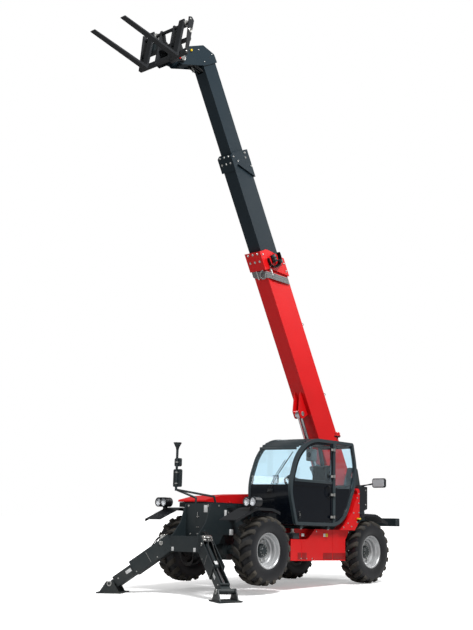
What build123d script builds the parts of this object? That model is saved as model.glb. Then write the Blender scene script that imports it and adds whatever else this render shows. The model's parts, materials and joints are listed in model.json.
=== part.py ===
from build123d import *
import math
import os

os.makedirs("parts", exist_ok=True)

# Millimetres. The machine is drawn level, X forward, Y left, Z up, with its origin on the wheels' ground
# plane midway between the axles. place() then sets it down nose-up on its stabiliser feet.

# ---- driving dimensions -------------------------------------------------------------------------------
WHEELBASE = 3090
FRONT, REAR = WHEELBASE / 2, -WHEELBASE / 2
TYRE_RADIUS = 600           # to the tips of the lugs
TYRE_WIDTH = 410
LUG_HEIGHT = 42
RIM_RADIUS = 311            # over the rim flanges
RIM_WIDTH = 332
RIM_FLANGE = 20
BEAD_RADIUS = 285
HUB_RADIUS = 112
HUB_DEPTH = 115             # of the hub's face behind the rim's outer edge
WHEEL_Y = 930               # middle of the tyre
KINGPIN_Y = 655
HUB_FACE = WHEEL_Y - 54         # where the wheel seats on its knuckle
LUG_PAIRS = 18
LUG_THICK = 60
LUG_SWEEP = 64              # a lug runs this far each way round the tyre from its middle
TYRE_FLATS = 18

PLATE_Y = 320               # outer face of the main frame's long plates
PLATE = 25
BEAM_X0, BEAM_X1 = FRONT + 705, FRONT + 985
BEAM_Z0, BEAM_Z1 = 550, 820
BEAM_Y = 420

LEG_TOP = (FRONT + 905, BEAM_Y, 690)      # where a leg's middle line leaves the beam, left side
FOOT_PIN = (FRONT + 1374, 1367, -36)    # a foot's pin, left side
FOOT_HEIGHT = 164               # from the sole up to the pin
SLEEVE_LENGTH = 800
SLEEVE_WIDTH = 210
SLEEVE_DEPTH = 270
SLEEVE_WALL = 14
LEG_START = 500                 # top end of the inner leg, along the middle line
LEG_WIDTH = 170
LEG_DEPTH = 196
LEG_WALL = 12
JACK_RADIUS = 45
JACK_ROD_RADIUS = 26
JACK_LIFT = 45                  # the jack above the leg's middle line
JACK_BORE_START = 60            # along the sleeve
JACK_ROD_START = 480
FOOT_PIN_RADIUS = 25
FOOT_SIZE = 480
TUBE_RADIUS = 44                # of the cross tube that turns on the foot's pin
CHEEK_Y = 146                   # inner face of a foot's cheek, from the leg's middle
CHEEK = 20
SOLE = 24

BOOM_ANGLE = 61
BOOM_PIVOT = (REAR - 455, 2120)      # X, Z
BOOM_PIVOT_L, BOOM_PIVOT_H = -250, 200
BOOM_PIN = 60
SECTION_1 = (335, 590, 14)      # width, height, wall
SECTION_2 = (297, 470, 12)
SECTION_3 = (262, 360, 10)
SECTION_1_ENDS = (-400, 4780)
SECTION_2_ENDS = (1500, 6740)
SECTION_3_ENDS = (3250, 8520)
TOOL_AHEAD, TOOL_PIVOT_H = 207, -751    # the tool's pivot, ahead of section 3's end
TOOL_PIVOT_L = SECTION_3_ENDS[1] + TOOL_AHEAD
TILT_BACK, TILT_BASE_H = 220, 20        # the tilt cylinder's base pin, back from section 3's end
TILT_BASE_L = SECTION_3_ENDS[1] - TILT_BACK
FORK_TILT = 10.7                # above level, at rest

LIFT_EYE_L, LIFT_EYE_H = 1422, -444
LIFT_BASE = (REAR - 155, 1100)       # X, Z
LIFT_PIN = 40
LIFT_EAR = 85                   # reach of the frame's ears round the base pin, short of the barrel
LIFT_BARREL_RADIUS = 95
LIFT_ROD_RADIUS = 55
LIFT_LENGTHS = (1290, 1300)     # barrel, rod
LIFT_WIDTH = 100                # of the lift cylinder's eyes
TILT_LENGTHS = (560, 560)

SIDE_FACE = 1000                # outer face of the side box
HOUSING_FACE = 1080             # outer face of the engine housing, on the right
HOUSING_WALL = 20
HOUSING_X = (REAR + 585, FRONT - 765)
DECK_X = FRONT + 55                   # front end of the housing's deck
WING_Z = 2 * TYRE_RADIUS + 125  # top of the wings' arms
DECK_Z = WING_Z + 115           # top of the housing and its deck
DECK_DEPTH = 90
HOOD_GAP = 6                    # under the hood's edge, and at its ends
HOOD_SKIN = 22
WING_Y = (720, 1120)
WING_SKIN = 12
WING_LIP = 48                   # depth of a wing's outer lip

CAB_Y0, CAB_Y1 = 280, 1120      # outer faces of the cab's two sides
CAB_TUBE = 60
CAB_FLOOR = 1060
CAB_ROOF = 2660
PILLAR_X = -310                 # middle of the door pillar
PILLAR = 70
RAIL_Z = (1770, 1860)           # the door's waist rail

TILT_WIDTH = 90                 # of the tilt cylinder's eyes
FORK_Y = 400
FORK_LENGTH = 1200
CARRIAGE_HALF = 620
CLEAR = 6                       # running clearance between sliding pieces

TAIL_X, TAIL_Z = REAR - 905, 760        # the frame's rear end and its foot
REAR_BAR_X = TAIL_X - 170
TOW_PIN = (REAR_BAR_X - 60, 0, 915)       # middle of the tow clevis
TOW_BORE = 16.5
TOW_GAP = 60                    # between the clevis's two ears
TOW_EAR = 25

# ---- stance: nose up on the feet ----------------------------------------------------------------------
_reach = FOOT_PIN[0] - REAR
_drop = FOOT_PIN[2] - TYRE_RADIUS
_dip = math.asin((FOOT_HEIGHT - TYRE_RADIUS) / math.hypot(_reach, _drop))
STANCE = math.degrees(_dip - math.atan2(_drop, _reach))
_rise = TYRE_RADIUS * (1 - math.cos(math.radians(STANCE))) + WHEELBASE / 2 * math.sin(math.radians(STANCE))
FORE_AND_AFT = 886              # from the axles' middle to the middle of the overall length
TO_GROUND = Pos(-FORE_AND_AFT, 0, _rise) * Rot(0, -STANCE, 0)


# ---- helpers ------------------------------------------------------------------------------------------
def box(x0, x1, y0, y1, z0, z1):
    """Block between two corners."""
    return Pos((x0 + x1) / 2, (y0 + y1) / 2, (z0 + z1) / 2) * Box(abs(x1 - x0), abs(y1 - y0), abs(z1 - z0))


def rod(start, end, radius):
    """Round bar from one point to another."""
    start, end = Vector(*start), Vector(*end)
    return extrude(Plane(origin=start, z_dir=end - start) * Circle(radius), amount=(end - start).length)


def cross_rod(x, z, y0, y1, radius):
    """Round bar along Y."""
    return rod((x, y0, z), (x, y1, z), radius)


def rounded(points, y=0):
    """Closed outline in an XZ plane; each corner is (x, z) or (x, z, radius)."""
    corners = [(Vector(p[0], y, p[1]), p[2] if len(p) > 2 else 0) for p in points]
    edges, ends = [], []
    for i, (corner, radius) in enumerate(corners):
        if not radius:
            ends.append((corner, corner, None))
            continue
        back = (corners[i - 1][0] - corner).normalized()
        ahead = (corners[(i + 1) % len(corners)][0] - corner).normalized()
        half = math.radians(back.get_angle(ahead)) / 2
        reach = radius / math.tan(half)
        middle = corner + (back + ahead).normalized() * (radius / math.sin(half) - radius)
        ends.append((corner + back * reach, corner + ahead * reach, middle))
    for i, (first, last, middle) in enumerate(ends):
        if middle is not None:
            edges.append(ThreePointArc(first, middle, last))
        following = ends[(i + 1) % len(ends)][0]
        if (following - last).length > 0.01:
            edges.append(Line(last, following))
    return make_face(edges)


def prism(points, y0, y1):
    """Solid of an XZ outline between two Y values."""
    return extrude(rounded(points, y0), amount=y1 - y0, dir=(0, 1, 0))


def mirrored(shape):
    """The same piece on the right side."""
    return mirror(shape, about=Plane.XZ)


def on_both_sides(shape):
    return shape + mirrored(shape)


def save(name, *shapes):
    """Set a node's solids on the ground and write them."""
    solids = [s for shape in shapes for s in shape.solids()]
    export_step(TO_GROUND * Compound(children=solids), f"parts/{name}.step")


def boom_point(along, up):
    """Machine X and Z of a point given along and square to the boom."""
    a = math.radians(BOOM_ANGLE)
    u, v = along - BOOM_PIVOT_L, up - BOOM_PIVOT_H
    x, z = BOOM_PIVOT
    return (x + u * math.cos(a) - v * math.sin(a), z + u * math.sin(a) + v * math.cos(a))


ON_BOOM = Pos(BOOM_PIVOT[0], 0, BOOM_PIVOT[1]) * Rot(0, -BOOM_ANGLE, 0) * Pos(-BOOM_PIVOT_L, 0, -BOOM_PIVOT_H)
TOOL_PIVOT = boom_point(TOOL_PIVOT_L, TOOL_PIVOT_H)
ON_TOOL = Pos(TOOL_PIVOT[0], 0, TOOL_PIVOT[1]) * Rot(0, -FORK_TILT, 0)


# ---- main frame ---------------------------------------------------------------------------------------
AXLE_TOP = TYRE_RADIUS + 250
AXLE_PLATE = 20
CAB_REST = 1040                 # top of the brackets that carry the cab's mounts
CAB_MOUNTS_X = (-150, 650)
FRAME_TOP, FRAME_FOOT, NOSE_TOP = 1040, 560, 1390
NOSE_X = BEAM_X0 - 50
TOWER = BOOM_PIVOT[1] + 150     # top of the rear tower that carries the boom
AXLE_GAP = 335                  # the frame's arch over an axle, each way from the axle
FRAME_SIDE = [                  # x, z, radius
    (TAIL_X, TAIL_Z), (TAIL_X, 1280), (TAIL_X + 120, 1700), (BOOM_PIVOT[0] - 170, TOWER, 60),
    (BOOM_PIVOT[0] + 150, TOWER, 60), (REAR - 55, 1560), (REAR + 295, FRAME_TOP), (FRONT - 275, FRAME_TOP),
    (FRONT + 155, 1250), (NOSE_X - 270, NOSE_TOP), (NOSE_X, NOSE_TOP), (BEAM_X0 + 80, 1050),
    (BEAM_X1, BEAM_Z1), (BEAM_X0 - 10, BEAM_Z1), (BEAM_X0 - 10, 640), (FRONT + 435, 700),
    (FRONT + AXLE_GAP, AXLE_TOP), (FRONT - AXLE_GAP, AXLE_TOP), (FRONT - AXLE_GAP - 130, FRAME_FOOT),
    (REAR + AXLE_GAP + 130, FRAME_FOOT), (REAR + AXLE_GAP, AXLE_TOP), (REAR - AXLE_GAP, AXLE_TOP),
    (REAR - AXLE_GAP - 120, TAIL_Z),
]


def main_frame():
    """Two long plates with their cross plates, the cab's brackets and the lift cylinder's ears."""
    plates = [prism(FRAME_SIDE, y - PLATE, y) for y in (PLATE_Y, PLATE - PLATE_Y)]
    inner = PLATE_Y - PLATE
    frame = plates[0] + plates[1]
    cross_plates = [            # x0, x1, z0, z1
        (TAIL_X, TAIL_X + PLATE, TAIL_Z, 1280),
        (REAR + 545, REAR + 545 + PLATE, FRAME_FOOT, 900),
        (FRONT - 595, FRONT - 595 + PLATE, FRAME_FOOT, FRAME_TOP - 20),
        (NOSE_X - PLATE, NOSE_X, 700, NOSE_TOP),
        (NOSE_X - 270, NOSE_X, NOSE_TOP - PLATE, NOSE_TOP),
        (REAR - AXLE_GAP, REAR + AXLE_GAP, AXLE_TOP, AXLE_TOP + AXLE_PLATE),
        (FRONT - AXLE_GAP, FRONT + AXLE_GAP, AXLE_TOP, AXLE_TOP + AXLE_PLATE),
        (REAR + 645, FRONT - 645, FRAME_FOOT, FRAME_FOOT + 20),
    ]
    for x0, x1, z0, z1 in cross_plates:
        frame += box(x0, x1, -inner, inner, z0, z1)
    frame -= cross_rod(BOOM_PIVOT[0], BOOM_PIVOT[1], -PLATE_Y - 10, PLATE_Y + 10, BOOM_PIN + 0.05)
    x, z = LIFT_BASE
    ear = [(x - LIFT_EAR, AXLE_TOP + AXLE_PLATE), (x - LIFT_EAR, z, 40), (x, z + LIFT_EAR, 40),
           (x + LIFT_EAR, z, 40), (x + LIFT_EAR, AXLE_TOP + AXLE_PLATE)]
    for side in (1, -1):
        frame += prism(ear, side * 60, side * (60 + PLATE))
    frame += cross_rod(x, z, -60 - PLATE, 60 + PLATE, LIFT_PIN)
    for x in CAB_MOUNTS_X:
        frame += box(x - 40, x + 40, PLATE_Y - 1, CAB_Y1 - 10, 1006, CAB_REST)
        for y in (PLATE_Y - PLATE / 2, CAB_Y1 - CAB_TUBE / 2):
            frame += rod((x, y, CAB_REST - 1), (x, y, CAB_FLOOR), 28)
    edge = [(BEAM_X0 + 20, BEAM_Z1), (BEAM_X1, BEAM_Z1), (BEAM_X0 + 80, 1050), (NOSE_X + 10, NOSE_TOP - 10)]
    nose = prism(edge, -PLATE, 0)
    frame += Pos(0, PLATE_Y, 0) * nose + Pos(0, PLATE - PLATE_Y, 0) * nose
    return frame


# ---- stabiliser legs ----------------------------------------------------------------------------------
LEG_RUN = Vector(*FOOT_PIN) - Vector(*LEG_TOP)
LEG_LENGTH = LEG_RUN.length
LEG_OUT = Vector(LEG_RUN.X, LEG_RUN.Y, 0).normalized()
LEG_SIDE = Vector(LEG_OUT.Y, -LEG_OUT.X, 0)
# along a leg: local X runs down the leg, local Y to its front side, local Z up, out of its open face
LEG_DOWN = LEG_RUN.normalized()
ALONG_LEG = Plane(origin=Vector(*LEG_TOP), x_dir=LEG_DOWN, z_dir=LEG_SIDE.cross(LEG_DOWN)).location


def stabiliser_frame():
    """Cross beam with an open channel welded to each end, and the jacks' barrels in the channels."""
    half, depth = SLEEVE_WIDTH / 2, SLEEVE_DEPTH / 2
    sleeve = box(-60, SLEEVE_LENGTH, -half, half, -depth, depth)
    room = box(0, SLEEVE_LENGTH + 1, SLEEVE_WALL - half, half - SLEEVE_WALL, SLEEVE_WALL - depth, depth + 1)
    barrel = rod((-1, 0, JACK_LIFT), (SLEEVE_LENGTH - 60, 0, JACK_LIFT), JACK_RADIUS)
    bore = rod((JACK_BORE_START, 0, JACK_LIFT), (SLEEVE_LENGTH, 0, JACK_LIFT), JACK_ROD_RADIUS + 0.3)
    beam = box(BEAM_X0, BEAM_X1, -BEAM_Y, BEAM_Y, BEAM_Z0, BEAM_Z1)
    sleeve, room, barrel, bore = [on_both_sides(ALONG_LEG * shape) for shape in (sleeve, room, barrel, bore)]
    return beam + sleeve - room + barrel - bore


LEG_LOW = SLEEVE_WALL + CLEAR - SLEEVE_DEPTH / 2    # the leg's floor, below its middle line
LEG_END = 75                    # from the end of the leg's channel to the foot's pin


def leg():
    """Inner channel with the jack's rod in it and a cross tube at its foot."""
    half, end = LEG_WIDTH / 2, LEG_LENGTH - LEG_END
    shape = box(LEG_START, end, -half, half, LEG_LOW, LEG_LOW + LEG_DEPTH)
    inside = half - LEG_WALL
    shape -= box(LEG_START - 1, end - 30, -inside, inside, LEG_LOW + LEG_WALL, LEG_LOW + LEG_DEPTH + 1)
    shape += box(end - 1, LEG_LENGTH, 1 - half, half - 1, -TUBE_RADIUS, TUBE_RADIUS)
    shape += rod((LEG_LENGTH, CLEAR - CHEEK_Y, 0), (LEG_LENGTH, CHEEK_Y - CLEAR, 0), TUBE_RADIUS)
    shape += rod((JACK_ROD_START, 0, JACK_LIFT), (end - 29, 0, JACK_LIFT), JACK_ROD_RADIUS)
    return shape - rod((LEG_LENGTH, -CHEEK_Y, 0), (LEG_LENGTH, CHEEK_Y, 0), FOOT_PIN_RADIUS + 0.05)


def foot():
    """Left foot: two cheeks with the pin square to the leg, on a sole that is flat on the ground."""
    turn = math.degrees(math.atan2(LEG_OUT.Y, LEG_OUT.X))
    level = Pos(*FOOT_PIN) * Rot(0, STANCE, 0) * Rot(0, 0, turn)
    square = Pos(*FOOT_PIN) * Rot(0, 0, turn)
    half, wide = FOOT_SIZE / 2, CHEEK_Y + CHEEK + 40
    sole = box(-half, half, -wide, wide, -FOOT_HEIGHT, SOLE - FOOT_HEIGHT)
    sole = chamfer(sole.faces().sort_by(Axis.Z)[0].edges(), SOLE / 2)
    outline = [(-half + 30, -FOOT_HEIGHT - 20), (-TUBE_RADIUS - 12, TUBE_RADIUS, 45),
               (TUBE_RADIUS + 12, TUBE_RADIUS, 45), (half - 30, -FOOT_HEIGHT - 20)]
    cheeks = prism(outline, CHEEK_Y, CHEEK_Y + CHEEK) + prism(outline, -CHEEK_Y - CHEEK, -CHEEK_Y)
    pin = rod((0, -CHEEK_Y - CHEEK - 14, 0), (0, CHEEK_Y + CHEEK + 14, 0), FOOT_PIN_RADIUS)
    above = level * box(-half, half, -wide, wide, -FOOT_HEIGHT, 2 * FOOT_HEIGHT)
    return level * sole + (square * cheeks & above) + square * pin


# ---- axles, knuckles, wheels --------------------------------------------------------------------------
KINGPIN_RADIUS = 30
YOKE_HALF = 150                 # half height of the axle's yoke round a knuckle
YOKE_ROOM = 105                 # half height of the gap in it


def axle(x):
    """Beam with its differential, and a yoke at each end round the kingpin."""
    z = TYRE_RADIUS
    shape = rod((x, -KINGPIN_Y + 95, z), (x, KINGPIN_Y - 95, z), 85)
    shape += cross_rod(x, z, -190, 190, 185)
    shape += box(x - 160, x + 160, -200, 200, z + 100, AXLE_TOP)
    for side in (1, -1):
        y0, y1 = side * (KINGPIN_Y - 120), side * (KINGPIN_Y + 60)
        yoke = box(x - 70, x + 70, y0, y1, z - YOKE_HALF, z + YOKE_HALF)
        shape += yoke - box(x - 71, x + 71, side * (KINGPIN_Y - 80), y1 + side, z - YOKE_ROOM, z + YOKE_ROOM)
    for side in (1, -1):
        y = side * KINGPIN_Y
        shape -= rod((x, y, z - YOKE_HALF - 1), (x, y, z + YOKE_HALF + 1), KINGPIN_RADIUS + 0.05)
    return shape


def knuckle(x, side):
    """Kingpin with its sleeve, and the stub that the wheel seats on."""
    y, z = side * KINGPIN_Y, TYRE_RADIUS
    shape = rod((x, y, z - YOKE_HALF + 1), (x, y, z + YOKE_HALF - 1), KINGPIN_RADIUS)
    shape += rod((x, y, z - YOKE_ROOM + CLEAR), (x, y, z + YOKE_ROOM - CLEAR), 65)
    shape += rod((x, y, z), (x, side * (HUB_FACE - 0.3), z), 75)
    return shape


def rim(x, side):
    """Deep-dished wheel with its hub, about Y."""
    outer, inner = WHEEL_Y + RIM_WIDTH / 2, WHEEL_Y - RIM_WIDTH / 2
    hub = outer - HUB_DEPTH
    bead = BEAD_RADIUS
    profile = [                 # y, radius
        (outer, RIM_RADIUS), (outer, RIM_RADIUS - 16), (outer - 14, bead - 1), (outer - 62, bead - 17),
        (outer - 74, bead - 39), (outer - 128, bead - 49), (outer - 146, bead - 71), (hub - 72, bead - 83),
        (hub - 72, HUB_RADIUS + 16), (hub - 20, HUB_RADIUS), (hub, HUB_RADIUS - 12), (hub, 0), (HUB_FACE, 0),
        (HUB_FACE, 150), (hub - 90, 160), (hub - 90, bead - 55), (inner + 90, bead - 35), (inner, bead - 10),
        (inner, RIM_RADIUS), (inner + RIM_FLANGE, RIM_RADIUS), (inner + RIM_FLANGE, bead),
        (outer - RIM_FLANGE, bead), (outer - RIM_FLANGE, RIM_RADIUS),
    ]
    face = make_face(Polyline([(x, side * y, TYRE_RADIUS + r) for y, r in profile], close=True))
    return revolve(face, axis=Axis((x, 0, TYRE_RADIUS), (0, 1, 0)))


def tyre_carcass():
    """The carcass in flats about Y; its section is (y, radius)."""
    half, crown = TYRE_WIDTH / 2, TYRE_RADIUS - LUG_HEIGHT
    bead = RIM_WIDTH / 2 - RIM_FLANGE - 0.3
    section = [(-bead, BEAD_RADIUS - 10), (-bead, RIM_RADIUS + 10), (15 - half, 430), (37 - half, crown)]
    section += [(-y, r) for y, r in reversed(section)]
    section.append(section[0])
    turns = [math.radians(360 / TYRE_FLATS * i) for i in range(TYRE_FLATS + 1)]
    rings = [[Vector(r * math.sin(turn), y, r * math.cos(turn)) for y, r in section] for turn in turns]
    faces = []
    for here, there in zip(rings, rings[1:]):
        for i in range(len(section) - 1):
            faces.append(make_face(Polyline(here[i], here[i + 1], there[i + 1], there[i], close=True)))
    return Solid(Shell(faces)) - Rot(90, 0, 0) * Cylinder(BEAD_RADIUS, TYRE_WIDTH)


def lug(hand):
    """One lug at the tyre's top, swept back to the shoulder; its top's corners reach the tyre's radius."""
    half, foot = TYRE_WIDTH / 2, TYRE_RADIUS - 160
    top = math.sqrt(TYRE_RADIUS ** 2 - LUG_SWEEP ** 2)
    outline = Polyline((LUG_SWEEP - LUG_THICK, -4 * hand), (LUG_SWEEP, -4 * hand),
                       (LUG_THICK - LUG_SWEEP + 10, half * hand), (-LUG_SWEEP, half * hand), close=True)
    return extrude(Pos(0, 0, foot) * make_face(outline), amount=top - foot, dir=(0, 0, 1))


def tyre(x, side):
    """Tyre with its chevron lugs fused on."""
    lugs = [Rot(0, i * 180 / LUG_PAIRS, 0) * lug(1 if i % 2 else -1) for i in range(2 * LUG_PAIRS)]
    return Pos(x, side * WHEEL_Y, TYRE_RADIUS) * (tyre_carcass() + lugs)


# ---- bodywork -----------------------------------------------------------------------------------------
STEER_ROOM = TYRE_RADIUS + 200                # kept clear round each kingpin for the turned tyre
STEER_ROOM_TOP = TYRE_RADIUS - 70            # the same at the tyre's top


def steer_room(x, side):
    """What a steered tyre sweeps: a drum up to its shoulder, then a cone to its top."""
    y, shoulder, top = side * KINGPIN_Y, TYRE_RADIUS + 220, 2 * TYRE_RADIUS + 15
    drum = rod((x, y, 0), (x, y, shoulder), STEER_ROOM)
    return drum + Pos(x, y, (shoulder + top) / 2) * Cone(STEER_ROOM, STEER_ROOM_TOP, top - shoulder)


BOX_X, BOX_Z = (REAR + 565, FRONT - 665), (430, 1000)
BOX_STAND = 30                  # the box's back, out from the frame's plate
STEP_X, STEP_Z = 560, 810       # the step cut in the box's upper front corner
SEAMS = [                       # x and top of each seam between the box's panels
    (-420, BOX_Z[1]), (STEP_X - 52, STEP_Z),
]


def side_box():
    """Box between the wheels on the left, cut away for the tyres and for the step up to the cab."""
    shape = box(*BOX_X, PLATE_Y + BOX_STAND, SIDE_FACE, *BOX_Z)
    low, top = BOX_Z[0] - 1, BOX_Z[1] + 1
    shape -= box(STEP_X, BOX_X[1] + 1, PLATE_Y, SIDE_FACE + 1, STEP_Z, top)
    shape -= steer_room(FRONT, 1) + steer_room(REAR, 1)
    toe = [(STEP_X - 440, top), (STEP_X, top), (STEP_X, STEP_Z + 1), (STEP_X - 230, STEP_Z + 1)]
    shape -= prism(toe, SIDE_FACE - 140, SIDE_FACE + 1)
    for x, z in SEAMS:
        shape -= box(x - 3, x + 3, SIDE_FACE - 6, SIDE_FACE + 1, low, z + 1)
    shape += box(BOX_X[0] + 80, BOX_X[1] - 180, PLATE_Y, PLATE_Y + BOX_STAND, 600, 900)
    return shape


def rear_bodywork():
    """Curved panel rising behind the cab."""
    foot, back, top = BOX_Z[1] + 1, REAR + 365, 1800
    outline = [(back + 540, foot + 49), (back + 620, foot), (back + 140, foot), (back, 1180), (back, top, 60),
               (back + 120, top, 30), (back + 70, 1700), (back + 95, 1640), (back + 250, 1330, 200),
               (back + 480, 1090, 200)]
    return prism(outline, SIDE_FACE - 100, SIDE_FACE + 80) - steer_room(REAR, 1)


TANK_TOP = WING_Z + 525


def rear_tank():
    """Upright tank behind the cab, with the bracket that holds it to the frame."""
    back, front = REAR + 50, REAR + 355
    side = [(back, WING_Z + 95, 30), (back, TANK_TOP, 15), (front, TANK_TOP, 60), (front, WING_Z - 5)]
    tank = prism(side, 480, SIDE_FACE + 40)
    return tank + box(back + 1, back + 75, PLATE_Y, 560, WING_Z - 65, WING_Z + 115)


def rear_bar():
    """Bumper bar with the counterweight under it and the tow clevis."""
    shape = box(REAR_BAR_X, TAIL_X - 20, -1050, 1050, 1110, 1270)
    shape += box(REAR_BAR_X, TAIL_X, -560, 560, 640, 1110) + box(TAIL_X - 20, TAIL_X, -300, 300, 1110, 1270)
    x, y, z = TOW_PIN
    for up in (1, -1):
        shape += box(x - 50, REAR_BAR_X + 1, -60, 60, z + up * TOW_GAP / 2, z + up * (TOW_GAP / 2 + TOW_EAR))
    return shape - rod((x, y, z - 100), (x, y, z + 100), TOW_BORE)


HOOD_Y = -360                   # the hood's inner side
HOOD_HINGE = (-349, DECK_Z + 13)        # Y, Z of the hood's hinge line
HOOD_HINGES = (-600, 200, 1000)
HOOD_PIN = 6
LOUVRES = [                     # x of the first and last, z0, z1
    (HOUSING_X[0] + 200, HOUSING_X[0] + 760, DECK_Z + 38, DECK_Z + 152),
    (HOUSING_X[0] + 440, HOUSING_X[0] + 1140, DECK_Z - 540, DECK_Z - 260),
]
LOUVRE_PITCH, LOUVRE_WIDE, LOUVRE_DEEP = 70, 38, 9


def louvres(row):
    """A row of upright slots sunk in the right side's face."""
    first, last, z0, z1 = row
    starts = [first + i * LOUVRE_PITCH for i in range(round((last - first) / LOUVRE_PITCH) + 1)]
    return [box(x, x + LOUVRE_WIDE, -HOUSING_FACE - 1, LOUVRE_DEEP - HOUSING_FACE, z0, z1) for x in starts]


def engine_housing():
    """Open-topped tub on the right, with the deck that runs on over the front wheel."""
    x0, x1 = HOUSING_X
    wall, back = HOUSING_WALL, -PLATE_Y - HOUSING_WALL
    tub = box(x0, x1, -HOUSING_FACE, -PLATE_Y, 500, DECK_Z)
    tub -= box(x0 + wall, x1 - wall, wall - HOUSING_FACE, back, 500 + wall, DECK_Z + 1)
    tub -= steer_room(FRONT, -1) + steer_room(REAR, -1)
    deck = box(x1 - 40, DECK_X, -HOUSING_FACE, back, DECK_Z - DECK_DEPTH, DECK_Z)
    floor = DECK_Z - DECK_DEPTH + wall
    deck -= box(x1 - 60, DECK_X - wall, wall - HOUSING_FACE, back - wall, floor, DECK_Z + 1)
    front = box(x1 - 40, x1 - 20, -HOUSING_FACE, back, DECK_Z - 200, floor + 1)
    return tub + deck + front - louvres(LOUVRES[1])


def engine_block():
    return box(-500, 500, -960, -470, 620, 1300) + box(-460, 460, -900, -520, 520, 620)


def engine_hood():
    """Lid over the engine and the deck, hinged on its inner edge."""
    skin, low, top = HOOD_SKIN, DECK_Z + HOOD_GAP, DECK_Z + 200
    x0, x1 = HOUSING_X[0] + 5, DECK_X + 40
    bend, slope = HOUSING_X[1] - 410, DECK_X - 360
    side = [(x0, low), (x0, top, 50), (bend, top, 300), (slope, top - 70, 200), (x1, low + 34, 30), (x1, low)]
    room = [(x0 + skin - 2, low - 1), (x0 + skin - 2, top - skin, 30), (bend, top - skin, 300),
            (slope, top - 70 - skin, 200), (x1 - skin, low + 16), (x1 - skin, low - 1)]
    hood = prism(side, -HOUSING_FACE, HOOD_Y) - prism(room, skin - HOUSING_FACE, HOOD_Y - skin)
    hood -= louvres(LOUVRES[0])
    for x in HOOD_HINGES:
        hood += rod((x - 40, *HOOD_HINGE), (x + 40, *HOOD_HINGE), 2 * HOOD_PIN)
        hood -= rod((x - 41, *HOOD_HINGE), (x + 41, *HOOD_HINGE), HOOD_PIN + 0.05)
    return hood


def hood_pins():
    """The hood's hinge pins with their feet, on the housing's inner edge."""
    y, z = HOOD_HINGE
    shapes = []
    for x in HOOD_HINGES:
        shape = rod((x - 60, y, z), (x + 39, y, z), HOOD_PIN)
        shapes.append(shape + box(x - 60, x - 44, y - HOOD_PIN, y + 8, DECK_Z, z + HOOD_PIN))
    return shapes


def fender(points):
    """Left wing as a bent plate along the points, each (x, z, radius), with a deep lip at its outer edge."""
    y0, y1 = WING_Y
    shape = None
    for start, end, deep in ((y0, y1 - WING_SKIN, WING_SKIN), (y1 - WING_SKIN, y1, WING_LIP)):
        low = [(p[0], p[1] - deep) + tuple(p[2:]) for p in points]
        sheet = prism(points + low[::-1], start, end)
        shape = sheet if shape is None else shape + sheet
    return shape


def front_fender():
    """Left front wing with the arm that carries it."""
    x0, x1, top = FRONT + 95, FRONT + 195, WING_Z
    wing = fender([(FRONT - 275, top - 50), (FRONT - 65, top + 5, 300), (FRONT + 355, top + 10, 500),
                   (FRONT + 885, top - 215)])
    wing += box(x0, x1, PLATE_Y, PLATE_Y + 30, FRAME_TOP + 80, top)
    return wing + box(x0, x1, PLATE_Y, WING_Y[0] + 40, top - 40, top)


def rear_fender():
    """Left rear wing with its arm."""
    top = WING_Z
    wing = fender([(REAR + 350, top - 35), (REAR + 215, top, 250), (REAR - 155, top, 400),
                   (REAR - 545, top - 150)])
    return wing + box(REAR - 55, REAR + 45, PLATE_Y, WING_Y[0] + 40, top - 95, top - 7)


LAMP = (FRONT + 515, WING_Y[1] - 23, WING_Z + 99)       # middle of a lamp pair, left side
LAMP_APART = 70                 # each lamp's middle from the pair's middle
LAMP_CASE = 86
LAMP_RADIUS = 66
LAMP_DEPTH = 52                 # of the bowl


def lamps():
    """Two round lamps a side in one case, each with a hollow bowl, on a post from the wing."""
    x, y, z = LAMP
    pair = box(x - 150, x, y - LAMP_APART, y + LAMP_APART, z - LAMP_CASE, z + LAMP_CASE)
    for across in (-LAMP_APART, LAMP_APART):
        pair += rod((x - 150, y + across, z), (x + 12, y + across, z), LAMP_CASE)
    for across in (-LAMP_APART, LAMP_APART):
        bowl = Rot(0, 90, 0) * Cone(LAMP_RADIUS - 34, LAMP_RADIUS + 6, LAMP_DEPTH)
        pair -= Pos(x + 13 - LAMP_DEPTH / 2, y + across, z) * bowl
    pair += box(x - 110, x - 60, y - 60, y + 15, WING_Z - 85, z)
    pair -= front_fender()
    pair = max(pair.solids(), key=lambda solid: solid.volume)
    return pair, mirrored(pair)


# ---- cab ----------------------------------------------------------------------------------------------
WAIST = 1775                    # foot of the windscreen
REAR_WAIST = 1860               # foot of the rear window
SIDE_WAIST = 1500               # foot of the window on the boom's side
EAVES = CAB_ROOF - 100          # foot of the roof
OVER = CAB_ROOF + 240           # clear above the roof, for cuts
TUBE_FACE = 62                  # the hoops' tube, seen from the side
PANEL, GLASS, ROOF_SKIN = 22, 8, 40


def cab_outline(ahead):
    """The cab from the side, (x, z, radius); its front edge is moved ahead."""
    high = CAB_ROOF - CAB_FLOOR
    return [(830 + ahead, CAB_FLOOR, 45), (1030 + ahead, CAB_FLOOR + 0.4125 * high, 0.4375 * high + ahead),
            (720 + ahead * 7 / 11, CAB_ROOF, 0.5 * high), (-920, CAB_ROOF, 60),
            (-1080, CAB_FLOOR + 0.6 * high, 0.5625 * high), (-620, CAB_FLOOR, 0.375 * high)]


CAB_SIDE = cab_outline(0)
CAB_INSIDE = cab_outline(220)   # the side next to the boom stands further ahead


def inset(outline, y, by):
    face = rounded(outline, y)
    return offset(face, amount=-by, kind=Kind.INTERSECTION) if by else face


def cab_volume(by):
    """The cab between its two sides, drawn in by a distance."""
    sides = [(CAB_SIDE, CAB_Y1 - CAB_TUBE), (CAB_INSIDE, CAB_Y0 + CAB_TUBE)]
    return loft([inset(outline, y, by) for outline, y in sides], ruled=True)


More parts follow.
